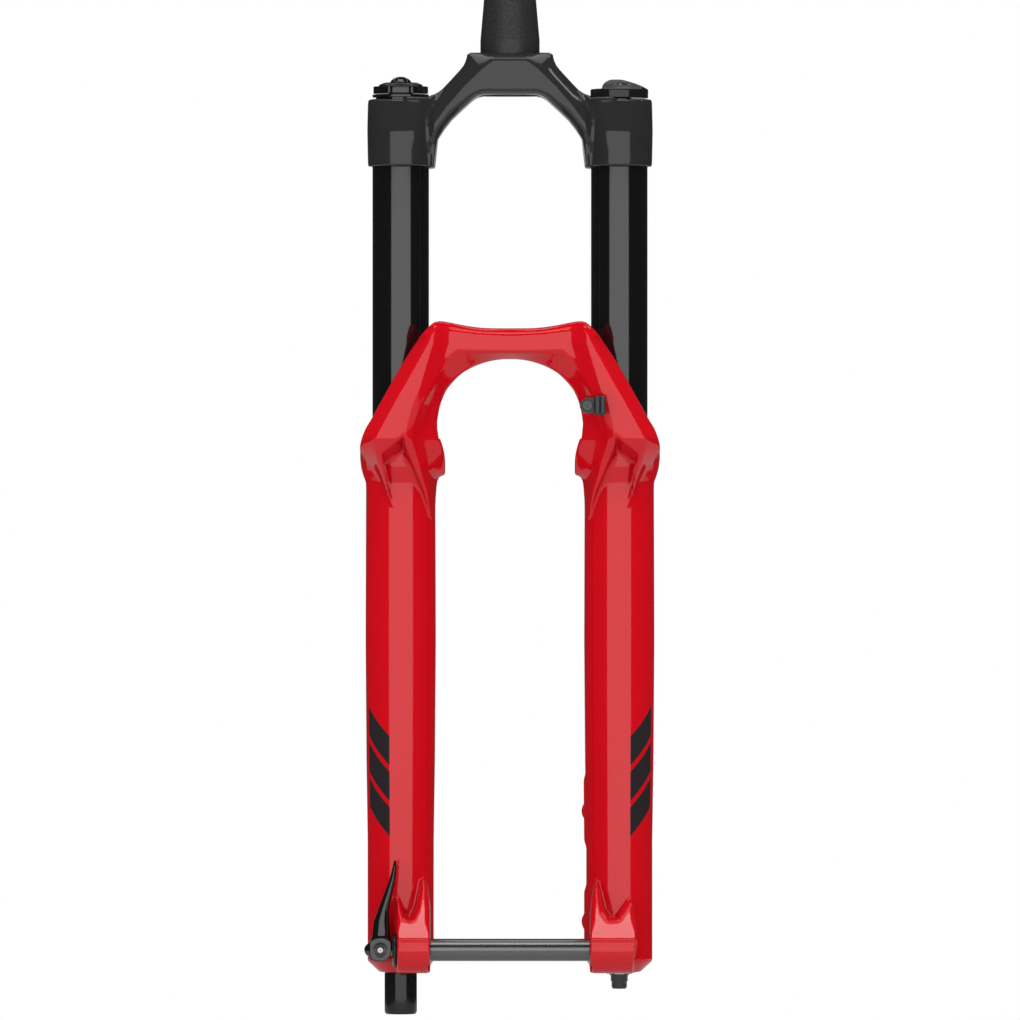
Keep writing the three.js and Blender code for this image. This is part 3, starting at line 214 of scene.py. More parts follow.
class Paint:
    """One material, its nodes and its Principled shader."""

    def __init__(self, name, color, rough, **fixed):
        self.material = bpy.data.materials.new(name)
        self.material.use_nodes = True
        self.tree = self.material.node_tree
        self.shader = self.tree.nodes["Principled BSDF"]
        self.set(**{"Base Color": (*color, 1.0), "Roughness": rough}, **fixed)
        self.material.diffuse_color = (*color, 1.0)

    def set(self, **inputs):
        for name, value in inputs.items():
            self._put(self.shader.inputs[name], value)

    def _put(self, socket, value):
        if isinstance(value, Value):
            self.tree.links.new(value.socket, socket)
        else:
            socket.default_value = value

    def node(self, kind, settings=None, inputs=None, output=0):
        made = self.tree.nodes.new(kind)
        for name, value in (settings or {}).items():
            setattr(made, name, value)
        for name, value in (inputs or {}).items():
            self._put(made.inputs[name], value)
        return Value(self, made.outputs[output])

    def place(self):
        """Object coordinates, which don't slide when the piece moves."""
        return self.node("ShaderNodeTexCoord", output="Object")

    def xyz(self):
        made = self.tree.nodes.new("ShaderNodeSeparateXYZ")
        self._put(made.inputs[0], self.place())
        return [Value(self, socket) for socket in made.outputs]

    def noise(self, scale, detail=3.0, rough=0.5, output="Fac", place=None):
        inputs = {"Vector": place or self.place(), "Scale": scale, "Detail": detail, "Roughness": rough}
        return self.node("ShaderNodeTexNoise", None, inputs, output)

    def stretch(self, scale):
        inputs = {"Vector": self.place(), "Scale": scale}
        return self.node("ShaderNodeMapping", None, inputs)

    def mix(self, mask, first, second):
        """first where the mask is 0 and second where it is 1, for colours."""
        made = self.tree.nodes.new("ShaderNodeMix")
        made.data_type = "RGBA"
        for socket, value in ((made.inputs[0], mask), (made.inputs[6], first), (made.inputs[7], second)):
            self._put(socket, (*value, 1.0) if isinstance(value, tuple) and len(value) == 3 else value)
        return Value(self, made.outputs[2])

    def bump(self, height, distance, strength=1.0):
        inputs = {"Height": height, "Distance": distance, "Strength": strength}
        self.set(Normal=self.node("ShaderNodeBump", None, inputs))


# %% [markdown]
# ## Finishes
#
# The lowers are sprayed gloss red and lacquered, so the paint has a faint orange peel and dust-fine
# scatter. The crown is gloss black paint, and the stanchions are a hard black anodised film that reflects
# more than paint does. The steerer is bead-blasted, which gives it a fine salt-and-pepper grain.


# %% Paints and films
def shade(color, factor):
    """The colour made darker or lighter by a factor."""
    return tuple(min(1.0, factor * channel) for channel in color)


def lacquered(name, color, rough=0.12, peel=0.00002, level=0.5, wear=0.06):
    paint = Paint(name, color, rough, **{"Specular IOR Level": level})
    cloud = paint.noise(14.0, 4.0)
    speck = paint.noise(2600.0, 2.0)
    tone = paint.mix(cloud * 0.7 + speck * 0.3, shade(color, 1.0 - wear), shade(color, 1.0 + wear))
    paint.set(**{"Base Color": tone})
    paint.set(Roughness=rough + 0.05 * (cloud - 0.5))
    paint.bump(paint.noise(420.0, 2.0), peel)
    return paint


RED = (0.56, 0.0022, 0.0085)
black_paint = lacquered("black_lacquer", (0.02, 0.02, 0.021), 0.12)
GRAPHITE = (0.022, 0.018, 0.02)
BAR_LOW, BAR_HIGH = AXLE_Z + 86, AXLE_Z + 156


def barred(paint, base):
    """Three slanted graphite bars on the outer front of both legs, mixed over the base colour."""
    x, y, z = paint.xyz()
    round_leg = (y - LEG_Y * MM).turn(x.size() - HALF * MM)
    along = (z - BAR_LOW * MM) / ((BAR_HIGH - BAR_LOW) * MM) - 0.35 * (round_leg + 0.75)
    bars = 0.0
    for low, high in ((0.02, 0.3), (0.36, 0.64), (0.7, 0.98)):
        bars = (along > low) * (along < high) + bars
    side = (round_leg > -1.25) * (round_leg < -0.42)
    return paint.mix((bars * side).smaller(1.0), base, GRAPHITE)


red_paint = Paint("red_lacquer", RED, 0.08)
red_cloud = red_paint.noise(14.0, 4.0)
red_tone = red_paint.mix(red_cloud, shade(RED, 0.95), shade(RED, 1.05))
red_paint.set(**{"Base Color": barred(red_paint, red_tone)})
red_paint.set(Roughness=0.08 + 0.04 * (red_cloud - 0.5))
red_paint.bump(red_paint.noise(420.0, 2.0), 0.00001)
floor_paint = Paint("floor_paint", (0.5, 0.5, 0.5), 0.7)
floor_paint.set(Roughness=0.65 + 0.1 * floor_paint.noise(3.0))
floor.data.materials.append(floor_paint.material)


def anodised(name, color, rough=0.1, streak=0.05, lines=(30.0, 30.0, 2400.0), tint=1.5):
    """A dyed oxide film over turned metal: very fine rings run round the tube."""
    paint = Paint(name, color, rough, **{"Metallic": 0.0, "Specular IOR Level": 0.9})
    rings = paint.noise(1.0, 2.0, place=paint.stretch(lines))
    paint.set(Roughness=rough + streak * (rings - 0.5))
    paint.set(**{"Base Color": paint.mix(rings, color, shade(color, tint))})
    return paint


black_film = anodised("black_anodised_film", (0.0035, 0.0035, 0.004))
axle_film = anodised("satin_axle_film", (0.15, 0.15, 0.155), 0.14, 0.01, (5200.0, 30.0, 30.0), 1.08)
axle_film.set(Metallic=0.8)
gun_metal = anodised("gunmetal_film", (0.004, 0.004, 0.0045), 0.06)


def blasted(name, color, rough=0.42):
    """Bead-blasted metal: dimples under a tenth of a millimetre, which also speckle its colour."""
    paint = Paint(name, color, rough, **{"Metallic": 0.6})
    grain = paint.noise(1500.0, 3.0, 0.7)
    paint.set(**{"Base Color": paint.mix(grain.step(0.3, 0.75), shade(color, 0.5), shade(color, 1.7))})
    paint.set(Roughness=rough + 0.2 * (grain - 0.5))
    paint.bump(grain, 0.00004)
    return paint


steerer_metal = blasted("blasted_steerer", (0.05, 0.05, 0.053))


def machined(name, color, rough=0.3, metallic=1.0):
    paint = Paint(name, color, rough, **{"Metallic": metallic})
    rings = paint.noise(1.0, 3.0, place=paint.stretch((60.0, 60.0, 5200.0)))
    paint.set(Roughness=rough + 0.16 * (rings - 0.5))
    paint.set(**{"Base Color": paint.mix(rings, shade(color, 0.85), color)})
    paint.bump(rings, 0.00001)
    return paint


bright_alloy = machined("machined_alloy", (0.6, 0.61, 0.63))
bright_steel = machined("ground_steel", (0.55, 0.55, 0.57), 0.22)
bushing_bronze = machined("bushing_bronze", (0.42, 0.28, 0.13), 0.4)


def moulded(name, color, rough, grain=0.00003, scale=1400.0):
    """Moulded plastic or rubber: a spark-eroded grain."""
    paint = Paint(name, color, rough)
    speckle = paint.noise(scale, 3.0, 0.6)
    paint.set(**{"Base Color": paint.mix(speckle, shade(color, 0.8), shade(color, 1.25))})
    paint.set(Roughness=rough + 0.12 * (speckle - 0.5))
    paint.bump(speckle, grain)
    return paint


rubber = moulded("seal_rubber", (0.012, 0.012, 0.012), 0.62)
matt_plastic = moulded("matt_plastic", (0.03, 0.031, 0.033), 0.42)
gloss_plastic = moulded("gloss_plastic", (0.008, 0.008, 0.0085), 0.09, 0.000001)
oiled_foam = moulded("oiled_foam", (0.09, 0.08, 0.06), 0.85, 0.0004, 900.0)

BY_SLOT = {
    "red_paint": red_paint, "black_paint": black_paint, "black_anodised": black_film,
    "steerer_alloy": steerer_metal, "alloy": bright_alloy, "steel": bright_steel, "bronze": bushing_bronze,
    "rubber": rubber, "foam": oiled_foam, "plastic": matt_plastic, "gloss_plastic": gloss_plastic,
}
for part in frame["record"]["subparts"]:
    slots = frame["nodes"][part["node"]].data.materials
    slots.clear()
    slots.append(BY_SLOT[part["material_slot"]].material)
print("finishes:", len(BY_SLOT))

# %% [markdown]
# ## Making meshes from arrays
#
# Turned pieces are a profile carried round an axis: a grid of points with the profile along one side and
# the turn along the other. Cast and forged pieces have webs and rounded junctions that no single grid holds,
# so they start as a field, a number that is negative inside the metal and positive outside. Fields join with
# a rounded minimum, which is the fillet that a foundry leaves, and a net of squares is drawn where the
# field is zero.


# %% Meshes
def piece(name, shape, paint, body, nodes=(), crease=None):
    """A mesh object from points in millimetres and four-cornered faces. Edges bent by more than crease
    degrees stay sharp."""
    points, faces = shape
    mesh = bpy.data.meshes.new(name)
    mesh.vertices.add(len(points))
    mesh.vertices.foreach_set("co", (np.asarray(points, float) * MM).astype(np.float32).ravel())
    mesh.loops.add(faces.size)
    mesh.loops.foreach_set("vertex_index", faces.astype(np.int32).ravel())
    mesh.polygons.add(len(faces))
    mesh.polygons.foreach_set("loop_start", np.arange(len(faces), dtype=np.int32) * faces.shape[1])
    mesh.update(calc_edges=True)
    mesh.validate()
    mesh.polygons.foreach_set("use_smooth", np.ones(len(mesh.polygons), bool))
    if crease:
        mesh.set_sharp_from_angle(angle=math.radians(crease))
    mesh.materials.append(paint.material)
    made = bpy.data.objects.new(name, mesh)
    bpy.context.scene.collection.objects.link(made)
    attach(made, body)
    if nodes:
        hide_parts(*nodes)
    print(f"{name}: {len(points)} points, {len(faces)} faces")
    return made


def rounded(profile, radius, steps=4):
    """A closed profile with each corner replaced by an arc that meets both of its sides."""
    profile = np.asarray(profile, float)
    before = np.roll(profile, 1, 0) - profile
    after = np.roll(profile, -1, 0) - profile
    a = np.linalg.norm(before, axis=1, keepdims=True)
    b = np.linalg.norm(after, axis=1, keepdims=True)
    reach = np.minimum(radius, 0.45 * np.minimum(a, b))
    start, end = profile + before / a * reach, profile + after / b * reach
    t = np.linspace(0, 1, steps + 1)[None, :, None]
    curve = (1 - t) ** 2 * start[:, None] + 2 * t * (1 - t) * profile[:, None] + t**2 * end[:, None]
    return curve.reshape(-1, 2)


def turned(profile, x, y, sides=128, cut=None, along="z"):
    """Points and faces of a closed (radius, height) profile carried once round an axis through (x, y). The
    radius may be cut by a function of the radius, the height and the angle. The axis may lie along x or y
    instead: then (x, y) are the two coordinates that follow it, in the order x, y, z, x."""
    profile = np.asarray(profile, float)
    angle = (np.arange(sides) / sides * 2 * np.pi)[None]
    radius, height = profile[:, :1], profile[:, 1:]
    reach = radius - cut(radius, height, angle) if cut else radius
    points = np.stack(np.broadcast_arrays(x + reach * np.cos(angle), y + reach * np.sin(angle), height), -1)
    points = points[..., {"z": [0, 1, 2], "x": [2, 0, 1], "y": [1, 2, 0]}[along]]
    i, j = np.meshgrid(np.arange(len(profile)), np.arange(sides), indexing="ij")
    below, across = (i + 1) % len(profile), (j + 1) % sides
    faces = np.stack([i * sides + j, i * sides + across, below * sides + across, below * sides + j], -1)
    return points.reshape(-1, 3), faces.reshape(-1, 4)


# %% Fields
def round_max(a, b, radius):
    """The larger of two fields, with the edge where they meet rounded off over about that radius."""
    share = np.clip(0.5 + 0.5 * (a - b) / radius, 0.0, 1.0)
    return b + (a - b) * share + radius * share * (1.0 - share)


def round_min(a, b, radius):
    """The smaller of two fields, with a fillet of about that radius in the corner between them."""
    return -round_max(-a, -b, radius)


def rise(value, low, high):
    """0 at low and 1 at high, level at both ends."""
    t = np.clip((value - low) / (high - low), 0.0, 1.0)
    return t * t * (3.0 - 2.0 * t)


def outline(u, v, points):
    """Signed distance to a closed outline: the distance to its nearest side, negative inside."""
    points = np.asarray(points, float)
    near = np.full(np.broadcast(u, v).shape, np.inf)
    inside = np.zeros(near.shape, bool)
    for (au, av), (bu, bv) in zip(points, np.roll(points, -1, 0)):
        eu, ev = bu - au, bv - av
        t = np.clip(((u - au) * eu + (v - av) * ev) / (eu * eu + ev * ev), 0.0, 1.0)
        near = np.minimum(near, (u - au - t * eu) ** 2 + (v - av - t * ev) ** 2)
        if av != bv:
            inside ^= ((av > v) != (bv > v)) & (u < eu * (v - av) / ev + au)
    return np.where(inside, -1.0, 1.0) * np.sqrt(near)


def flowing(points, steps=6):
    """A smooth line through the points: between each pair, a cubic that leaves along the chord of its
    neighbours."""
    p = np.asarray(points, float)
    p = np.vstack([2 * p[0] - p[1], p, 2 * p[-1] - p[-2]])
    t = (np.arange(steps) / steps)[None, :, None]
    a, b, c, d = (p[i:len(p) - 3 + i, None] for i in range(4))
    line = 0.5 * (2 * b + (c - a) * t + (2 * a - 5 * b + 4 * c - d) * t**2 + (3 * b - a - 3 * c + d) * t**3)
    return np.vstack([line.reshape(-1, 2), p[-2:-1]])


# %% Net of squares on a field
def part_of(array, axis, start, stop):
    """The same array from start to stop along one axis."""
    index = [slice(None)] * 3
    index[axis] = slice(start, stop)
    return array[tuple(index)]


def settle(field, points, faces, step, rounds=4):
    """Points slide onto the surface along the field's slope, and are evened out towards their neighbours."""
    pairs = np.vstack([faces[:, [i, (i + 1) % 4]] for i in range(4)])
    count = np.bincount(pairs[:, 0], minlength=len(points)).astype(float)[:, None]
    reach = 0.05 * np.eye(3)
    for turn in range(rounds):
        if turn:
            beside = points[pairs[:, 1]]
            near = np.stack([np.bincount(pairs[:, 0], beside[:, k], len(points)) for k in range(3)], 1)
            points = points + 0.45 * (near / count - points)
        for _ in range(2):
            value = field(*points.T)
            slope = np.stack([field(*(points + d).T) - field(*(points - d).T) for d in reach], 1) / 0.1
            move = -value[:, None] * slope / np.maximum((slope**2).sum(1, keepdims=True), 0.05)
            length = np.linalg.norm(move, axis=1, keepdims=True)
            points = points + move * np.minimum(1.0, 0.5 * step / np.maximum(length, 1e-9))
    return points


def skin(field, low, high, step):
    """The surface where a field is zero. Each cell of a cubic grid that the surface crosses gets one point, the
    mean of the crossings on its edges, and each grid edge that is crossed gets the square of its four cells."""
    axes = [np.arange(a, b + step, step) for a, b in zip(low, high)]
    grid = np.meshgrid(*axes, indexing="ij", sparse=True)
    shape = tuple(len(a) for a in axes)
    value = np.broadcast_to(field(*grid), shape).astype(np.float32)
    cells = tuple(n - 1 for n in shape)
    total = np.zeros((3, *cells), np.float32)
    count = np.zeros(cells, np.float32)
    crossings = []
    for axis in range(3):
        near, far = part_of(value, axis, 0, -1), part_of(value, axis, 1, None)
        cut = (near < 0) != (far < 0)
        share = np.where(cut, near / np.where(cut, near - far, 1.0), 0.0)
        crossings.append((cut, near < 0))
        b, c = (axis + 1) % 3, (axis + 2) % 3
        for db in (0, 1):
            for dc in (0, 1):
                def around(array):
                    some = part_of(array, b, db, array.shape[b] - 1 + db)
                    return part_of(some, c, dc, some.shape[c] - 1 + dc)
                here = around(cut)
                count += here
                for k in range(3):
                    base = part_of(grid[k], k, 0, shape[k] - 1) if k == axis else grid[k]
                    where = np.broadcast_to(base, cut.shape) + (share * step if k == axis else 0.0)
                    total[k] += np.where(here, around(where), 0.0)
    used = count > 0
    number = np.full(cells, -1, np.int64)
    number[used] = np.arange(used.sum())
    points = np.stack([total[k][used] / count[used] for k in range(3)], 1).astype(float)
    faces = []
    for axis, (cut, outward) in enumerate(crossings):
        b, c = (axis + 1) % 3, (axis + 2) % 3
        inner = part_of(part_of(cut, b, 1, -1), c, 1, -1)
        sign = part_of(part_of(outward, b, 1, -1), c, 1, -1)[inner]
        at = np.argwhere(inner)
        ring = []
        for db, dc in ((0, 0), (1, 0), (1, 1), (0, 1)):
            shifted = at.copy()
            shifted[:, b] += db
            shifted[:, c] += dc
            ring.append(number[tuple(shifted.T)])
        quads = np.stack(ring, 1)
        quads[~sign] = quads[~sign][:, ::-1]
        faces.append(quads)
    faces = np.vstack(faces)
    return settle(field, points, faces, step), faces


# %% [markdown]
# ## Lower casting
#
# The legs, the arch and the dropouts are one magnesium casting. It is modelled in five pieces: a head with
# the arch and both collars, two plain legs, and two feet with the dropouts. The legs are turned, and slip
# two hundredths of a millimetre over the head and the feet, which hides the joints under the paint.

# %% Leg profile
BORE_R = STANCHION_R + 1.6  # inside the legs
HEAD_JOINT = SEAL_Z - 62.0
HEAD_FOOT_LAP = 3.0
OVERLAP = 0.02
LEG_HEIGHTS = [FOOT_Z - 9, FOOT_Z, AXLE_Z + 72, AXLE_Z + 126, AXLE_Z + 206, SEAL_Z - 36, SEAL_Z - 30]
LEG_RADII = [22.2, 22.2, 22.2, 23.0, 23.6, 23.3, 23.4]
COLLAR_HEIGHTS = [SEAL_Z - d for d in (34, 30, 26.5, 24, 20, 14, 8, 3)]
COLLAR_RADII = [23.3, 23.5, 24.8, 25.6, 26.6, 27.3, 27.0, 25.9]


def leg_radius(z):
    return np.interp(z, LEG_HEIGHTS, LEG_RADII)


def collar_radius(z):
    return np.where(z < COLLAR_HEIGHTS[0], leg_radius(z), np.interp(z, COLLAR_HEIGHTS, COLLAR_RADII))


# %% [markdown]
# ### Arch and collars
#
# Seen from the front the arch has an outer edge, an opening, and between them a flat face with bevels to
# both edges. The field takes the depth of the front surface from how far a point lies between the face and
# the edge: nothing on the face, and the whole bevel at the edge. Below the wiper the face narrows into two
# fins, and a pocket between them runs down onto the leg.

# %% Arch outlines, right half, measured from the leg axis and the wiper's lip
def from_leg(points):
    return [(HALF + u, SEAL_Z + v) for u, v in points]


BEYOND = -HALF - 30  # past the middle, so the two halves run into each other
OUTER_EDGE = flowing(from_leg([
    (BEYOND, 72.8), (-HALF, 72.8), (-60, 72.9), (-53, 73.3), (-46, 74.2), (-39.8, 75.3), (-33, 76.7),
    (-27, 77.5), (-23, 76.8), (-19.6, 74.2), (-14.6, 69), (-7, 58), (0, 46.8), (9, 31), (18.9, 13),
    (23, 6.2), (25.3, 0.6), (26.7, -4.6), (26.6, -8), (24.4, -14), (20.5, -23), (15.5, -35),
    (10.5, -47), (8, -56), (7, -64),
]))
OPENING_EDGE = flowing(from_leg([
    (BEYOND, 52.2), (-HALF, 52.2), (-66.6, 51.9), (-59.9, 50.8), (-53.2, 48.8), (-46.5, 45.9), (-39.8, 41.5),
    (-33.1, 34.5), (-29.7, 29.2), (-26.6, 21.1), (-25.1, 12), (-25.2, 6.4), (-26.1, 1), (-27.7, -4.4),
    (-29.1, -9.7), (-29.8, -15), (-29.9, -20.5), (-29.6, -24.6), (-27.6, -25.8), (-25.2, -27.2), (-24, -31),
    (-23.4, -38), (-23.4, -64),
]))
ARCH_OUTLINE = np.vstack([OUTER_EDGE, OPENING_EDGE[::-1]])
FACE_OUTLINE = from_leg([
    (BEYOND, 69), (-HALF, 69), (-53, 70), (-37, 71.8), (-23.3, 73.3), (17.4, -0.9), (16.6, -9), (5.5, -46.6),
    (-20.7, -54), (-18.8, -35), (-6.6, -0.9), (-14.6, 22.5), (-32, 53), (-38, 58), (-50, 57.2), (-HALF, 56.5),
    (BEYOND, 56.5),
])
POCKET_OUTLINE = from_leg([
    (-2.7, 2.2), (12.4, -10.6), (6.2, -42), (5.9, -48), (5, -80), (-22, -80), (-20.9, -56), (-15.6, -35),
    (-3.0, -4),
])
CASTING_HIGH = box("lower_casting")[1]
ARCH_FRONT = box("hose_guide")[1][1] + 0.3
ARCH_DEPTH = 22.5
ARCH_REAR = ARCH_FRONT + ARCH_DEPTH
BEVEL = 12.0
COLLAR_BEVEL = 20.0  # at the collars the bevel runs further back
TOP_BEVEL = 5.0  # along the upper edge
SET_BACK = 7.0  # the middle of the arch stands behind its arms
FINS_TOP = SEAL_Z - 1.0


# %% Arch field
def arch_face(x, z):
    """Depth of the flat face: upright at the top, leaning back below, then falling to the leg along the
    fins."""
    upper = ARCH_FRONT + 2.5 * rise(-z, -SEAL_Z - 34, -SEAL_Z + 1)
    upper = upper + SET_BACK * (1.0 - rise(x - 0.3 * np.maximum(SEAL_Z + 63 - z, 0.0), 38.0, 54.0))
    leg_front = LEG_Y - np.sqrt(23.4**2 - np.clip(x - HALF, -18.0, 18.0) ** 2)
    tip = SEAL_Z - 46 - 0.29 * np.clip(HALF + 5.5 - x, 0, 30)
    down = np.clip((FINS_TOP - z) / (FINS_TOP - tip), 0.0, 1.25)
    return upper * (1 - down) + leg_front * down


def casting_head(x, y, z):
    boss = guide_boss(x, y, z)
    x = np.abs(x)
    edge = outline(x, z, ARCH_OUTLINE)
    beyond_face = round_max(outline(x, z, FACE_OUTLINE), 0.0, 1.6)
    to_edge = np.maximum(-edge, 0.0)
    share = beyond_face / (beyond_face + to_edge + 0.01)
    bevel = BEVEL + (COLLAR_BEVEL - BEVEL) * rise(-z, -SEAL_Z + 1, -SEAL_Z + 30)
    bevel = bevel + (TOP_BEVEL - BEVEL) * rise(z, SEAL_Z + 64, SEAL_Z + 69)
    front = arch_face(x, z) + share * bevel
    rear = ARCH_REAR + (LEG_Y - 3 - ARCH_REAR) * rise(-z, -FINS_TOP - 0.5, -FINS_TOP + 3)
    plate = round_max(round_max(edge, (front - y) * 0.8, 1.5), y - rear, 1.6)
    depth = np.maximum(y - arch_face(x, z), 0.0)
    pocket = outline(x, z + 0.72 * depth, POCKET_OUTLINE)
    plate = round_max(plate, -pocket, 1.0)
    # The back of the arch is cored out between its rims to save weight.
    core = round_max(edge + 5.5, front + 7.0 - y, 3.0)
    core = round_max(core, (SEAL_Z + 12) - z, 6.0)
    plate = round_max(plate, -core, 1.2)
    radius = np.hypot(x - HALF, y - LEG_Y)
    leg = round_max(radius - collar_radius(z), z - (SEAL_Z - 3), 1.0)
    body = round_min(leg, plate, 3.0)
    body = round_min(body, boss, 1.0)
    bore = np.where(z > SEAL_Z - 10, radius - 23.4, radius - BORE_R)
    flange = np.maximum(radius - 25.3, SEAL_Z - 2.6 - z)
    body = round_max(round_max(body, -bore, 0.5), -flange, 0.4)
    return np.maximum(body, HEAD_JOINT - HEAD_FOOT_LAP - z)


GUIDE_X, _, GUIDE_Z = middle("hose_guide_screw")
GUIDE_BOSS_R = 5.0


def guide_boss(x, y, z):
    """Boss under the hose guide's screw."""
    barrel = np.hypot(x - GUIDE_X, z - GUIDE_Z) - GUIDE_BOSS_R
    return np.maximum(np.maximum(barrel, ARCH_FRONT - y), y - (ARCH_REAR - 4))


HEAD_STEP = 1.1
MARGIN = 2.5
head_low = (-HALF - 30, ARCH_FRONT - MARGIN, HEAD_JOINT - HEAD_FOOT_LAP - MARGIN)
head_high = (HALF + 30, LEG_Y + 30, CASTING_HIGH[2] + MARGIN)
shape = skin(casting_head, head_low, head_high, HEAD_STEP)
piece("casting_head", shape, red_paint, "lower_unit", ["lower_casting"])

# %% [markdown]
# ### Legs
#
# Each leg is a drawn-in tube, a little slimmer at the foot than under the collar, and open inside for the
# stanchion. Its graphic is three plain slanted bars under the lacquer.

# %% Leg tubes
FOOT_JOINT = AXLE_Z + 54
POST_FOOT_JOINT = AXLE_Z + 122


def leg_tube(name, side, low):
    heights = np.linspace(low - HEAD_FOOT_LAP, HEAD_JOINT, 60)
    outside = np.stack([leg_radius(heights) + OVERLAP, heights], 1)
    inside = np.array([[BORE_R, HEAD_JOINT], [BORE_R, low - HEAD_FOOT_LAP]])
    shape = turned(np.vstack([outside, inside]), side * HALF, LEG_Y, 160)
    return piece(name, shape, red_paint, "lower_unit", ["lower_casting"], 40)


leg_tube("damper_leg_tube", -1, FOOT_JOINT)
leg_tube("air_leg_tube", 1, POST_FOOT_JOINT)

# %% [markdown]
# ### Feet and dropouts
#
# Each dropout is a boss round the axle, joined to the leg by two ribs that run up it, with a valley between
# them. The hub sits in a round pocket that is open at the bottom, so that the wheel drops in. The brake-side
# foot also carries the two posts that the caliper is bolted to.

# %% Feet
AXLE_HOLE_R = (box("axle_tube")[1][2] - box("axle_tube")[0][2]) / 2 + 0.3
FLOOR_Z = box("damper_rod")[0][2] - 0.3
RIM_R = AXLE_Z - FOOT_Z
HUB_SEAT = 55.05
HUB_POCKET_R = 11.5
NUT_SEAT_R, CUP_SEAT_R = 10.3, 12.6
FOOT_BOLT_HOLE_R = 4.3
CHEEK_TOP = 52
POST_X, POST_REAR, POST_R = 55.1, CASTING_HIGH[1], 6.9
POST_THREAD_R, POST_THREAD_DEPTH = 2.6, 14
POST_HEIGHTS = (AXLE_Z + 16.8, AXLE_Z + 91.2)


def cheek(y, z, top):
    """Side view of a dropout: from the leg down and forward, then round the axle."""
    turn = np.linspace(0.9, 1.5, 12) * np.pi
    arc = np.stack([AXLE_Y + RIM_R * np.cos(turn), AXLE_Z + RIM_R * np.sin(turn)], 1)
    start = [(LEG_Y, AXLE_Z + top), (LEG_Y - 21, AXLE_Z + top), (AXLE_Y - RIM_R + 0.5, AXLE_Z + 8)]
    return outline(y, z, np.vstack([start, arc, [(LEG_Y, FOOT_Z)]]))


def slab(x, low, high):
    return np.abs(x - (low + high) / 2) - (high - low) / 2


# %% Front outlines of the dropouts, from the axle's height
DAMPER_FRONT = [
    (53.5, -16.2), (53.5, 28), (55, 42), (57.5, 47.5), (59.5, 46), (61.2, 38), (63.4, 27.5), (66.4, 21.2),
    (69.8, 22.2), (72.4, 28), (74.6, 34), (76.4, 34), (76.8, 24), (75.8, 14), (75.2, 8), (75.2, -16.2),
]
BRAKE_FRONT = [
    (53.5, -16.2), (53.5, 24), (55.2, 38), (57.0, 46), (58.6, 45), (60.6, 37), (63.2, 26), (66.4, 21.0),
    (71.2, 21.4), (74.8, 27), (78.4, 32), (81.4, 33.6), (83.2, 30), (84.4, 20), (84.4, 6), (82.2, -6),
    (82.2, -16.2),
]


# %% Foot field
def brake_post(x, y, z, height):
    """A round post pointing back, and a web that thins towards its end."""
    from_post = np.hypot(x - POST_X, z - height)
    post = round_max(from_post - POST_R, y - POST_REAR, 0.8)
    post = np.maximum(post, LEG_Y - y)
    post = round_max(post, np.maximum(POST_THREAD_R - from_post, POST_REAR - POST_THREAD_DEPTH - y), 0.5)
    along = np.clip((y - LEG_Y - 4) / (POST_REAR - LEG_Y - 12), 0.0, 1.0)
    web = round_max(np.abs(z - height - 1) - (20 - 15 * along), (x - (POST_X + 22 - 17 * along)), 3.0)
    web = round_max(round_max(web, (POST_X - 4) - x, 3.0), y - (POST_REAR - 8), 3.0) * 0.8
    return round_min(post, np.maximum(web, LEG_Y - y), 3.0)


def foot_field(side, outer_face, front_edge, posts):
    """The leg's chamfered end joined to a dropout, which is a front outline met by a side outline. The
    hub's pocket, the axle's holes and the leg's bore are then cut from it."""
    def field(x, y, z):
        x = x * side
        radius = np.hypot(x - HALF, y - LEG_Y)
        cone = (7.4 * (radius - 14.2) - 8.0 * (z - FOOT_Z)) / 10.9
        leg = round_max(round_max(radius - leg_radius(z), cone, 1.0), FOOT_Z - z, 0.5)
        crest = 1.5 + 3.5 * rise(z, AXLE_Z + 10, AXLE_Z + 22)
        body = round_max(outline(x, z - AXLE_Z, front_edge), cheek(y, z, CHEEK_TOP) * 0.9, crest)
        body = round_min(leg, body, 2.5)
        for height in posts:
            body = round_min(body, brake_post(x, y, z, height), 5.0)
        axle = np.hypot(y - AXLE_Y, z - AXLE_Z)
        pocket = np.where(z > AXLE_Z, axle, np.abs(y - AXLE_Y)) - HUB_POCKET_R
        body = round_max(body, -np.maximum(pocket, x - HUB_SEAT), 0.4)
        seat_r, seat_x = (NUT_SEAT_R, HUB_SEAT + 9) if side > 0 else (CUP_SEAT_R, outer_face)
        body = round_max(body, -np.maximum(axle - seat_r, seat_x - x), 0.4)
        body = round_max(body, AXLE_HOLE_R - axle, 0.4)
        body = np.maximum(body, -np.maximum(radius - BORE_R, FLOOR_Z - z))
        body = np.maximum(body, FOOT_BOLT_HOLE_R - radius)
        top = POST_FOOT_JOINT if posts else FOOT_JOINT
        return np.maximum(body, z - top)
    return field


# %% Feet as nets
FOOT_STEP = 0.9
CUP_FACE = 75.2
NUT_FACE = box("axle_nut")[1][0]
for name, side, face, front_edge, posts, top in (
    ("casting_foot_damper", -1, CUP_FACE, DAMPER_FRONT, (), FOOT_JOINT),
    ("casting_foot_air", 1, NUT_FACE, BRAKE_FRONT, POST_HEIGHTS, POST_FOOT_JOINT),
):
    low = [min(side * 45, side * 99), AXLE_Y - RIM_R - 3, FOOT_Z - 2]
    high = [max(side * 45, side * 99), (POST_REAR if posts else LEG_Y + 24) + 3, top + 2]
    shape = skin(foot_field(side, face, front_edge, posts), low, high, FOOT_STEP)
    piece(name, shape, red_paint, "lower_unit", ["lower_casting"])

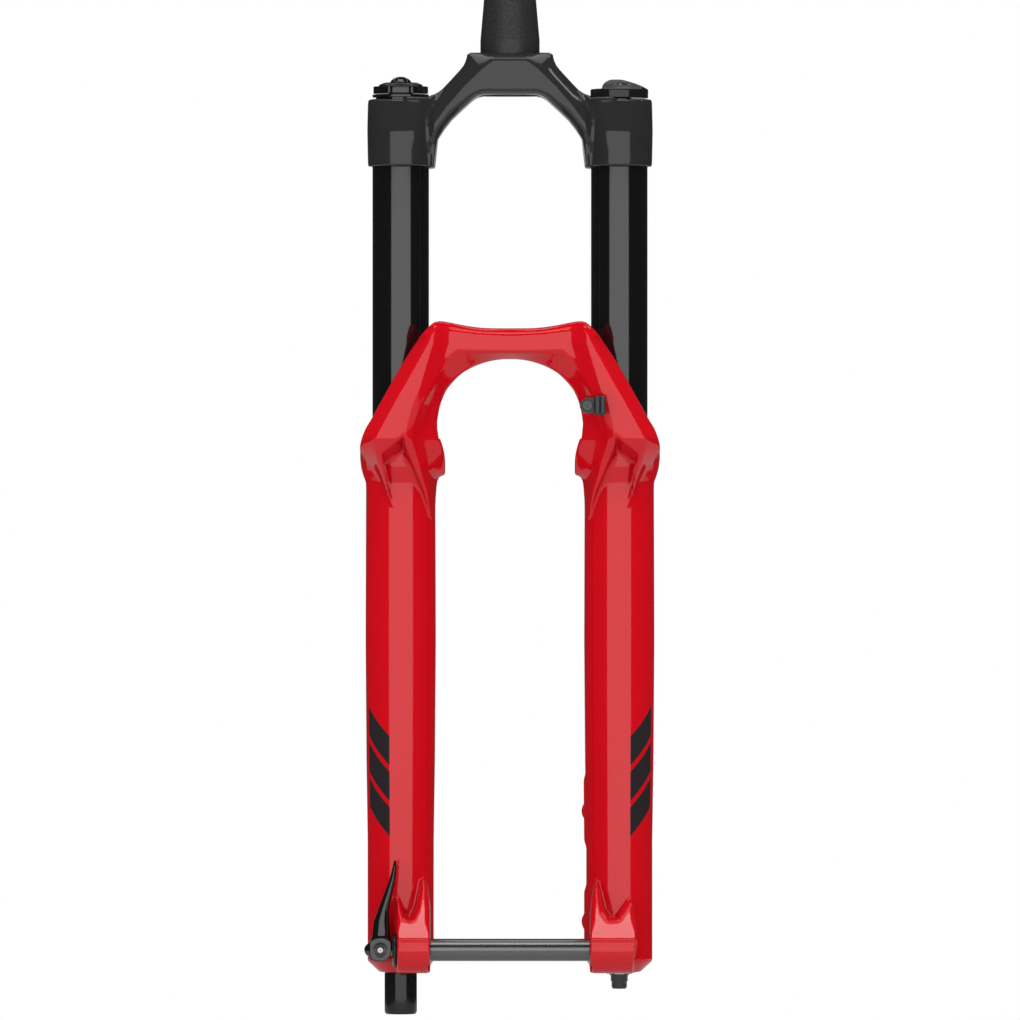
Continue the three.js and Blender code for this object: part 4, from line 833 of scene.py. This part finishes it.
# %% [markdown]
# ## Crown
#
# The crown is forged and then painted. From the front it has one flat land across the middle and down both
# arms, with bevels from the land to the upper and lower edges. The ears lean back above a break line and
# stand upright below it, where they clamp the stanchions.

# %% Crown
CROWN_EDGE = [
    (-30, 0), (26.2, 0), (28.8, -1.3), (29.1, -3.4), (29.9, -6), (31.2, -8.7), (33.3, -11.4), (36.4, -14.8),
    (39.4, -18.1), (42.6, -21.5), (45.7, -24.8), (48.4, -26.8), (50.8, -28.2), (52.5, -28.9), (53.9, -30.9),
    (95.3, -30.9), (96.1, -51.7), (95.5, -72), (95.2, -76.2), (51.3, -76.2), (50.7, -72), (49.7, -65),
    (48.6, -58.4), (44.4, -51.7), (39.2, -45), (32.2, -38.2), (28.6, -34.9), (25, -31.5), (22.1, -29.5),
    (17.9, -28.2), (-30, -28.1),
]
CROWN_LAND = [
    (-30, -4.6), (11.5, -4.6), (16.9, -9.1), (30.6, -22.1), (42, -35.5), (53.2, -50.8), (52.5, -55.5),
    (40.2, -39.8), (26.5, -29.2), (19, -25.9), (-30, -25.5),
]
LAND_FRONT = -31.4
LOWER_BEVEL, UPPER_BEVEL = 5.0, 13.0
SHOULDER_REACH, SHOULDER_DEPTH = 31.5, 21.5  # an oval that carries the arm into the ear
EAR_BREAK, EAR_TOP = -53.0, -30.9
EAR_NOSE, EAR_LEAN = 2.2, 4.2  # how far the ear's front bulges, and leans back towards its top
CROWN_STEP = 1.0
STEERER_R = (box("steerer_tube")[1][0] - box("steerer_tube")[0][0]) / 2


# %% Crown field
def crown_field(x, y, z):
    """A bridge, whose front surface drops back from its land as a point nears the outline, joined to an
    upright ear on each side. The stanchions' and the steerer's holes are then cut."""
    x = np.abs(x)
    edge = outline(x, z, CROWN_EDGE)
    outside_land = round_max(outline(x, z, CROWN_LAND), 0.0, 1.5)
    share = outside_land / (outside_land + np.maximum(-edge, 0.0) + 0.01)
    above = rise(z - np.interp(x, [0, 14, 26, 40, 53], [-15, -15, -25.5, -37, -53]), -1.0, 1.0)
    bevel = LOWER_BEVEL + (UPPER_BEVEL - LOWER_BEVEL) * above
    front = LAND_FRONT + bevel * share ** (1.0 + 0.6 * above)
    shoulder = SHOULDER_DEPTH * np.sqrt(np.clip(1.0 - ((x - HALF) / SHOULDER_REACH) ** 2, 0.0, 1.0))
    follow = LEG_Y - shoulder * (1.0 - 0.5 * rise(-z, 56.0, 78.0))
    by_ear = rise(x, 50.0, 58.0)
    front = round_min(front, follow, 4.0) * (1.0 - by_ear) + follow * by_ear
    rear = np.interp(x, [0, 16, 28, 60], [27, 27, 15, 4])
    bridge = round_max(round_max(edge, (front - y) * 0.75, 1.2), (y - rear) * 0.8, 3.0)
    bridge = np.maximum(bridge, x - HALF + 5.0)
    radius = np.hypot(x - HALF, y - LEG_Y)
    lean = EAR_LEAN * (z - EAR_BREAK) / (EAR_TOP - EAR_BREAK)
    bulge = np.maximum(EAR_NOSE - np.maximum(lean, 0), -1.6)
    nose = np.hypot(x - HALF, (y - LEG_Y) * EAR_R / (EAR_R + bulge)) - EAR_R
    ear = round_max(np.where(y < LEG_Y, nose, radius - EAR_R), z - EAR_TOP - 0.3, 4.0)
    ear = round_max(ear, edge, 1.2)
    body = round_min(bridge, ear, 5.0)
    body = np.maximum(body, STANCHION_R + 0.3 - radius)
    return np.maximum(body, STEERER_R + 0.3 - np.hypot(x, y))


crown_low, crown_high = box("crown")
shape = skin(crown_field, crown_low - (2, 6, 2), crown_high + (2, 2, 2), CROWN_STEP)
piece("forged_crown", shape, black_paint, "upper_unit", ["crown"])

# %% [markdown]
# ## Steerer and stanchions
#
# The steerer is a butted tube, wide at the crown race and narrow at the stem. The stanchions are ground
# tubes whose black film is what makes them reflect so crisply.

# %% Tubes
steerer_low, steerer_high = box("steerer_tube")
shape = turned(rounded([
    (STEERER_R - 5.2, steerer_low[2]), (STEERER_R, steerer_low[2]), (STEERER_R, 8.7), (17.6, 35), (14.5, 70),
    (14.3, 76), (14.3, steerer_high[2]), (11.7, steerer_high[2]), (11.7, 73), (STEERER_R - 5.2, 8.7),
], 0.6), 0, 0, 128)
piece("steerer", shape, steerer_metal, "upper_unit", ["steerer_tube"], 40)

# %% Stanchions and wiper seals
tube_foot, tube_top = (corner[2] for corner in box("air_stanchion"))
rim = SEAL_Z - 3
foam_top = SEAL_Z - 10
stanchion_profile = rounded([
    (STANCHION_R - 2, tube_foot), (STANCHION_R - 0.6, tube_foot), (STANCHION_R, tube_foot + 1.5),
    (STANCHION_R, tube_top), (STANCHION_R - 2, tube_top),
], 0.3)
wiper_profile = rounded([
    (STANCHION_R + 1.5, foam_top + 0.3), (23, foam_top + 0.3), (23, rim + 0.3), (24.6, rim + 0.3),
    (24.6, rim + 1.2), (STANCHION_R + 3.3, rim + 1.8), (STANCHION_R + 1.5, rim + 1.8),
    (STANCHION_R + 1.5, SEAL_Z), (STANCHION_R + 0.3, SEAL_Z), (STANCHION_R + 0.3, SEAL_Z - 2),
    (STANCHION_R + 1.1, SEAL_Z - 4), (STANCHION_R + 1.1, foam_top + 2.5),
    (STANCHION_R + 0.3, foam_top + 1.5), (STANCHION_R + 0.3, foam_top + 0.3),
], 0.25)
for side, name in ((-1, "damper"), (1, "air")):
    shape = turned(stanchion_profile, side * HALF, LEG_Y, 192)
    piece(f"{name}_ground_stanchion", shape, black_film, "upper_unit",
          [f"{name}_stanchion"], 40)
    shape = turned(wiper_profile, side * HALF, LEG_Y, 160)
    piece(f"{name}_wiper_seal", shape, rubber, "lower_unit", [f"{name}_dust_wiper"], 40)

# %% [markdown]
# ## Floating piston's spring
#
# The damper's oil pushes a piston up against this coil spring as the fork closes. It is a round wire carried
# along a helix.

# %% Coil spring
coil_low, coil_high = box("floating_piston_spring")
WIRE_R = 0.8
COIL_TURNS = 6.0
COIL_STEPS, WIRE_SIDES = 280, 10
COIL_R = (coil_high[0] - coil_low[0]) / 2 - WIRE_R
COIL_LENGTH = coil_high[2] - coil_low[2]


def coil(along, round_wire):
    """A circle of the wire's radius, in the plane through the axis, carried round and up a helix."""
    turn = along * COIL_TURNS * 2 * np.pi
    out = COIL_R + WIRE_R * np.cos(round_wire)
    up = coil_low[2] + WIRE_R + (COIL_LENGTH - 2 * WIRE_R) * along + WIRE_R * np.sin(round_wire)
    return np.stack([-HALF + out * np.cos(turn), LEG_Y + out * np.sin(turn), up], -1).reshape(-1, 3)


sides = np.arange(WIRE_SIDES)
i, j = np.meshgrid(np.arange(COIL_STEPS), sides, indexing="ij")
here, beside = i * WIRE_SIDES + j, i * WIRE_SIDES + (j + 1) % WIRE_SIDES
wall = np.stack([here + WIRE_SIDES, beside + WIRE_SIDES, beside, here], -1).reshape(-1, 4)
wire_end = np.array([[0, 1, 8, 9], [1, 2, 7, 8], [2, 3, 6, 7], [3, 4, 5, 6]])
coil_faces = np.vstack([wall, wire_end, wire_end[:, ::-1] + COIL_STEPS * WIRE_SIDES])
around = sides / WIRE_SIDES * 2 * np.pi
along, round_wire = np.meshgrid(np.linspace(0, 1, COIL_STEPS + 1), around, indexing="ij")
shape = coil(along, round_wire), coil_faces
spring = piece("floating_piston_coil", shape, bright_steel, "upper_unit", ["floating_piston_spring"])
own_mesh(spring)

# %% [markdown]
# ## Top caps
#
# The damper's cap carries two knobs: a notched outer one with a serrated crest, and a domed inner one. The
# air spring's valve stands under a plastic cover with a fin to grip.

# %% Damper cap and knobs
cap_low, cap_high = box("damper_top_cap")
knob_low, knob_high = box("compression_knob")
dome_low, dome_high = box("centre_knob")
CAP_SEAT, CAP_FLANGE = -29.9, 1.9
shape = turned(rounded([
    (0.01, cap_low[2]), (STANCHION_R - 2.3, cap_low[2]), (STANCHION_R - 2.3, CAP_SEAT),
    (STANCHION_R, CAP_SEAT), (STANCHION_R, CAP_SEAT + CAP_FLANGE), (8, CAP_SEAT + CAP_FLANGE),
    (8, cap_high[2] - 2.1), (2.6, cap_high[2] - 2.1),
    (2.6, cap_high[2]), (0.01, cap_high[2]),
], 0.3), -HALF, LEG_Y, 128)
piece("damper_cap", shape, black_film, "upper_unit", ["damper_top_cap"], 40)

KNOB_R = (knob_high[0] - knob_low[0]) / 2


def knob_cut(radius, height, angle):
    """Sixteen shallow notches round the rim and ninety-six fine teeth round the crest."""
    notch = 0.35 * (0.5 + 0.5 * np.cos(16 * angle)) ** 6 * (radius > KNOB_R - 2)
    tooth = 0.3 * (0.5 + 0.5 * np.cos(96 * angle)) * (radius > 13) * (radius < 15.2)
    return notch + tooth


shape = turned(rounded([
    (8.3, knob_low[2]), (KNOB_R, knob_low[2]), (KNOB_R, knob_high[2] - 1.8), (14.6, knob_high[2] - 1.8),
    (14.6, knob_high[2] - 0.6), (11, knob_high[2] + 0.9), (7.6, knob_high[2] + 0.9), (7.6, knob_high[2] - 3),
    (8.3, knob_high[2] - 3),
], 0.5), -HALF, LEG_Y, 576, knob_cut)
piece("notched_knob", shape, black_film, "compression_adjuster",
      ["compression_knob"], 30)


DOME_R, BALL_R = 7.15, 9.2


def dome_field(x, y, z):
    """A dome with a scoop out of its front and its back that leaves a bar to turn it by."""
    x, y = x + HALF, y - LEG_Y
    radius = np.hypot(x, y)
    ball = np.sqrt(radius**2 + (z - dome_high[2] + BALL_R) ** 2) - BALL_R
    body = round_max(round_max(radius - DOME_R, ball, 0.8), dome_low[2] - z, 0.3)
    scoop = np.sqrt(x**2 + (np.abs(y) - 8.2) ** 2 + (z - dome_high[2] - 0.6) ** 2) - 6.4
    return np.maximum(round_max(body, -scoop, 0.5), -np.maximum(radius - 3, z - dome_low[2] - 2.2))


shape = skin(dome_field, dome_low - 1, dome_high + 1, 0.22)
piece("domed_knob", shape, black_film, "low_speed_adjuster", ["centre_knob"])

# %% Air cap
air_low, air_high = box("air_cap")
AIR_CAP_R = (air_high[0] - air_low[0]) / 2
VALVE_TOP = box("air_top_cap")[1][2]
BASE_TOP = -24.3
FIN_EDGE = flowing([
    (-13.5, -26.5), (-12.2, -25.2), (-11.4, -22.6), (-9.8, -20.1), (-6.4, -18.2), (-2.4, -17.9), (2, -18.1),
    (7, -19.5), (12, -21.2), (16.4, -23.2), (19.2, -25.0), (19.4, -27),
])


def air_cap_field(x, y, z):
    """A round base, and a fin that is scooped on both sides."""
    x, y = x - HALF, y - LEG_Y
    radius = np.hypot(x, y)
    base = round_max(round_max(radius - AIR_CAP_R, z - BASE_TOP, 1.0), air_low[2] - z, 0.5)
    side = np.abs(y) - np.interp(z, [-25, -21, -18], [12.5, 9.5, 5.5])
    fin = round_max(outline(x, z, FIN_EDGE), side * 0.8, 1.2)
    scoop = np.sqrt(((x - 2) / 1.9) ** 2 + (np.abs(y) - 14.6) ** 2 + ((z + 20.6) / 0.62) ** 2) - 6.0
    body = round_min(base, np.maximum(round_max(fin, -scoop * 0.6, 0.6), radius - AIR_CAP_R + 0.3), 0.8)
    hollow = np.maximum(radius - 8.5, z - VALVE_TOP - 0.8)
    return round_max(body, -hollow, 0.2)


shape = skin(air_cap_field, air_low - 1, air_high + 1, 0.4)
piece("valve_cover", shape, gloss_plastic, "valve_cover", ["air_cap"])

# %% [markdown]
# ## Axle and lever
#
# The axle slides in from the damper side and screws into a nut. Its lever turns on a pin across the axle's
# end: the round head is a cam that pulls on a dished cup.

# %% Axle, cup, nut and pin
tube_low, tube_high = box("axle_tube")
AXLE_R = AXLE_HOLE_R - 0.3
cup_low, cup_high = box("axle_cam_cup")
CUP_R = (cup_high[2] - cup_low[2]) / 2
PIN_R, PIN_HOLE_R = 2.1, 2.4


def along_x(name, profile, paint, body, node, sides=128):
    shape = turned(profile, AXLE_Y, AXLE_Z, sides, along="x")
    return piece(name, shape, paint, body, [node], 40)


cap = rounded([
    (CUP_R - 0.6, cup_high[0]), (AXLE_HOLE_R, cup_high[0]), (AXLE_HOLE_R, cup_low[0]),
    (CUP_R - 2.4, cup_low[0]), (CUP_R, cup_low[0] + 1.4),
], 0.5)
along_x("dished_cup", cap[::-1], black_paint, "axle_cup", "axle_cam_cup")
nut_low, nut_high = box("axle_nut")
NUT_R = (nut_high[2] - nut_low[2]) / 2
nut = rounded([
    (AXLE_HOLE_R, nut_low[0]), (NUT_R, nut_low[0]), (NUT_R, nut_high[0]), (AXLE_HOLE_R, nut_high[0]),
], 0.6)
along_x("threaded_nut", nut, bright_alloy, "lower_unit", "axle_nut")
PIVOT_X, _, PIVOT_Z = middle("axle_lever_pin")
pin_low, pin_high = box("axle_lever_pin")
shape = turned(rounded([
    (0.01, pin_low[1]), (PIN_R, pin_low[1]), (PIN_R, pin_high[1]), (0.01, pin_high[1]),
], 0.4), PIVOT_Z, PIVOT_X, 48, along="y")
piece("lever_pin", shape, bright_steel, "axle", ["axle_lever_pin"], 40)

# %% Axle tube and its tongue
BORE_END = cup_high[0] + 8.8
AXLE_BORE_R = AXLE_R - 2.2
tube = rounded([
    (0.01, cup_low[0] + 1), (AXLE_R, cup_low[0] + 1), (AXLE_R, tube_high[0]), (AXLE_BORE_R, tube_high[0]),
    (AXLE_BORE_R, BORE_END), (0.01, BORE_END),
], 0.5)
along_x("through_axle", tube, axle_film, "axle", "axle_tube", 192)


def tongue_field(x, y, z):
    """A flat tongue with an eye for the lever's pin."""
    y, z = y - AXLE_Y, z - AXLE_Z
    tongue = round_max(round_max(np.abs(y) - 3, np.abs(z) - 4, 0.4), slab(x, tube_low[0], cup_low[0] + 3), 0.4)
    return np.maximum(tongue, PIN_HOLE_R - np.hypot(x - PIVOT_X, z))


tongue_low = (tube_low[0] - 1, AXLE_Y - 5, AXLE_Z - 6)
tongue_high = (cup_low[0] + 4, AXLE_Y + 5, AXLE_Z + 6)
shape = skin(tongue_field, tongue_low, tongue_high, 0.4)
piece("axle_tongue", shape, axle_film, "axle", ["axle_tube"], 35)

# %% Lever
lever_low, lever_high = box("axle_lever")
BLADE_HEIGHT = [-6, 4, 12.4, 19.4, 25.9, 30.9, 40.2, 48.3, 56.3, 60.5]
BLADE_OUTER = [-91, -92.6, -91.9, -90.9, -88.5, -86.6, -83.1, -80.2, -78.2, -77.4]
BLADE_INNER = [-82, -80.4, -79.8, -80.6, -80.7, -79.8, -77.7, -76.0, -75.6, -75.8]
BLADE_HALF_WIDTH = [8, 8, 7.6, 7.2, 6.8, 6.3, 5.4, 4.6, 3.6, 2.4]


HEAD_R = cup_low[0] - 0.3 - PIVOT_X  # what clears the cup as the lever turns


def lever_field(x, y, z):
    """A blade whose faces are crowned, a block round the pin with a ring cut in its faces, and a dome on
    its outer side. Where the head sweeps past the cup it keeps within the cam's radius."""
    y, z = y - AXLE_Y, z - AXLE_Z
    outer, inner = np.interp(z, BLADE_HEIGHT, BLADE_OUTER), np.interp(z, BLADE_HEIGHT, BLADE_INNER)
    across = (x - (outer + inner) / 2) / ((inner - outer) / 2)
    width = np.interp(z, BLADE_HEIGHT, BLADE_HALF_WIDTH) * (1.05 - 0.4 * np.minimum(across**2, 1.5))
    blade = round_max(round_max(outer - x, x - inner, 1.2), np.abs(y) - width, 2.0) * 0.9
    blade = round_max(blade, np.maximum(z - lever_high[2] + AXLE_Z, -2.0 - z), 1.0)
    from_pin = np.hypot(x - PIVOT_X, z)
    block = round_max(np.abs(x - PIVOT_X) - 7.5, np.abs(z) - 8.2, 5.0)
    eye = round_max(block, np.abs(y) - 8.5, 1.2)
    ring = np.hypot(from_pin - 4.3, np.abs(y) - 8.5) - 0.35
    dome = np.sqrt((x - PIVOT_X) ** 2 + (y / 0.62) ** 2 + (z / 0.62) ** 2) - (PIVOT_X - lever_low[0])
    body = round_min(round_min(eye, blade, 2.0), dome * 0.7, 1.0)
    from_axis = x - PIVOT_X
    swept = np.where(from_axis > 0.176 * z, from_pin, np.maximum(from_axis, -0.174 * from_axis - 0.985 * z))
    body = round_max(body, np.where(z < 0, swept, from_axis - 4.0) - HEAD_R, 0.3)
    body = round_max(body, -ring, 0.2)
    slot = np.maximum(np.abs(y) - 3.3, np.maximum(np.maximum(PIVOT_X - 7 - x, z - 9), np.abs(z + 1.5) - 10.5))
    body = round_max(body, -slot, 0.3)
    return np.maximum(body, PIN_HOLE_R - from_pin)


shape = skin(lever_field, lever_low - 1, lever_high + 1, 0.5)
piece("cam_lever", shape, gun_metal, "lever", ["axle_lever"])

# %% [markdown]
# ## Foot bolts, rebound cover and hose guide
#
# One bolt under each leg holds the inner parts. The damper's is hidden by a long plastic cap over the
# rebound knob, so that one keeps its plain solid. All three are turned profiles. The hose guide is a moulded
# clip on the arch, and its slit and rounded foot come from a field.

# %% Foot bolts and cover
cover_low, cover_high = box("rebound_cover")
COVER_R = (cover_high[0] - cover_low[0]) / 2
shape = turned(rounded([
    (0.01, cover_low[2]), (COVER_R - 0.9, cover_low[2]), (COVER_R, cover_low[2] + 1.4),
    (COVER_R, cover_high[2]), (COVER_R - 1.6, cover_high[2]), (COVER_R - 1.6, cover_low[2] + 2.4),
    (0.01, cover_low[2] + 2.4),
], 0.6), -HALF, LEG_Y, 128)
piece("rebound_cap", shape, gloss_plastic, "rebound_cap", ["rebound_cover"], 40)
bolt_low, bolt_high = box("air_foot_bolt")
shape = turned(rounded([
    (0.01, bolt_low[2]), (4.55, bolt_low[2]), (5.15, bolt_low[2] + 1.4), (5.15, bolt_low[2] + 5),
    (5.75, bolt_low[2] + 5), (5.75, bolt_low[2] + 9), (6.5, bolt_low[2] + 9), (6.5, FOOT_Z - 1.6),
    (4, FOOT_Z - 1.6), (4, bolt_high[2]), (0.01, bolt_high[2]),
], 0.2), HALF, LEG_Y, 96)
piece("air_shaft_bolt", shape, black_film, "lower_unit", ["air_foot_bolt"], 30)

# %% Hose guide and screw
guide_low, guide_high = box("hose_guide")
SCREW_R = (box("hose_guide_screw")[1][0] - box("hose_guide_screw")[0][0]) / 2


def guide_field(x, y, z):
    """A round-ended foot, and a channel whose mouth is the slit beside the screw."""
    x, z = x - GUIDE_X, z - GUIDE_Z
    foot = np.where(x < 0, np.hypot(x, z), np.abs(z)) - 5.1
    foot = round_max(np.maximum(foot, x - 8), guide_high[1] - 4.4 - y, 0.6)
    channel = round_max(round_max(np.abs(z) - 6.35, slab(x, 4.6, 12.3), 0.8), guide_low[1] - y, 2.6)
    body = round_max(round_min(foot, channel, 0.8), y - guide_high[1], 0.3)
    body = round_max(body, 2.6 - np.hypot(x - 8.5, y - guide_high[1] + 4), 0.3)
    mouth = np.maximum(slab(x, 7.9, 9.1), y - guide_high[1] + 4)
    return round_max(round_max(body, -mouth, 0.2), 2.0 - np.hypot(x, z), 0.2)


shape = skin(guide_field, guide_low - 1, guide_high + 1, 0.35)
piece("hose_clip", shape, matt_plastic, "lower_unit", ["hose_guide"])
screw_low, screw_high = box("hose_guide_screw")


def socket_cut(radius, height, angle):
    """The recess in the head is a hexagon."""
    hexagon = 1.7 / np.maximum(np.cos((angle + np.pi / 6) % (np.pi / 3) - np.pi / 6), 0.5)
    return np.where((radius > 1.55) & (radius < 1.85), radius - hexagon * 0.92, 0.0)


shape = turned(rounded([
    (0.01, screw_low[1] + 1.4), (1.7, screw_low[1] + 1.4), (1.7, screw_low[1]), (SCREW_R, screw_low[1]),
    (SCREW_R, screw_low[1] + 2.2), (1.5, screw_low[1] + 2.2), (1.5, screw_high[1]), (0.01, screw_high[1]),
], 0.15), GUIDE_Z, GUIDE_X, 72, socket_cut, "y")
piece("guide_screw", shape, gun_metal, "lower_unit", ["hose_guide_screw"], 30)
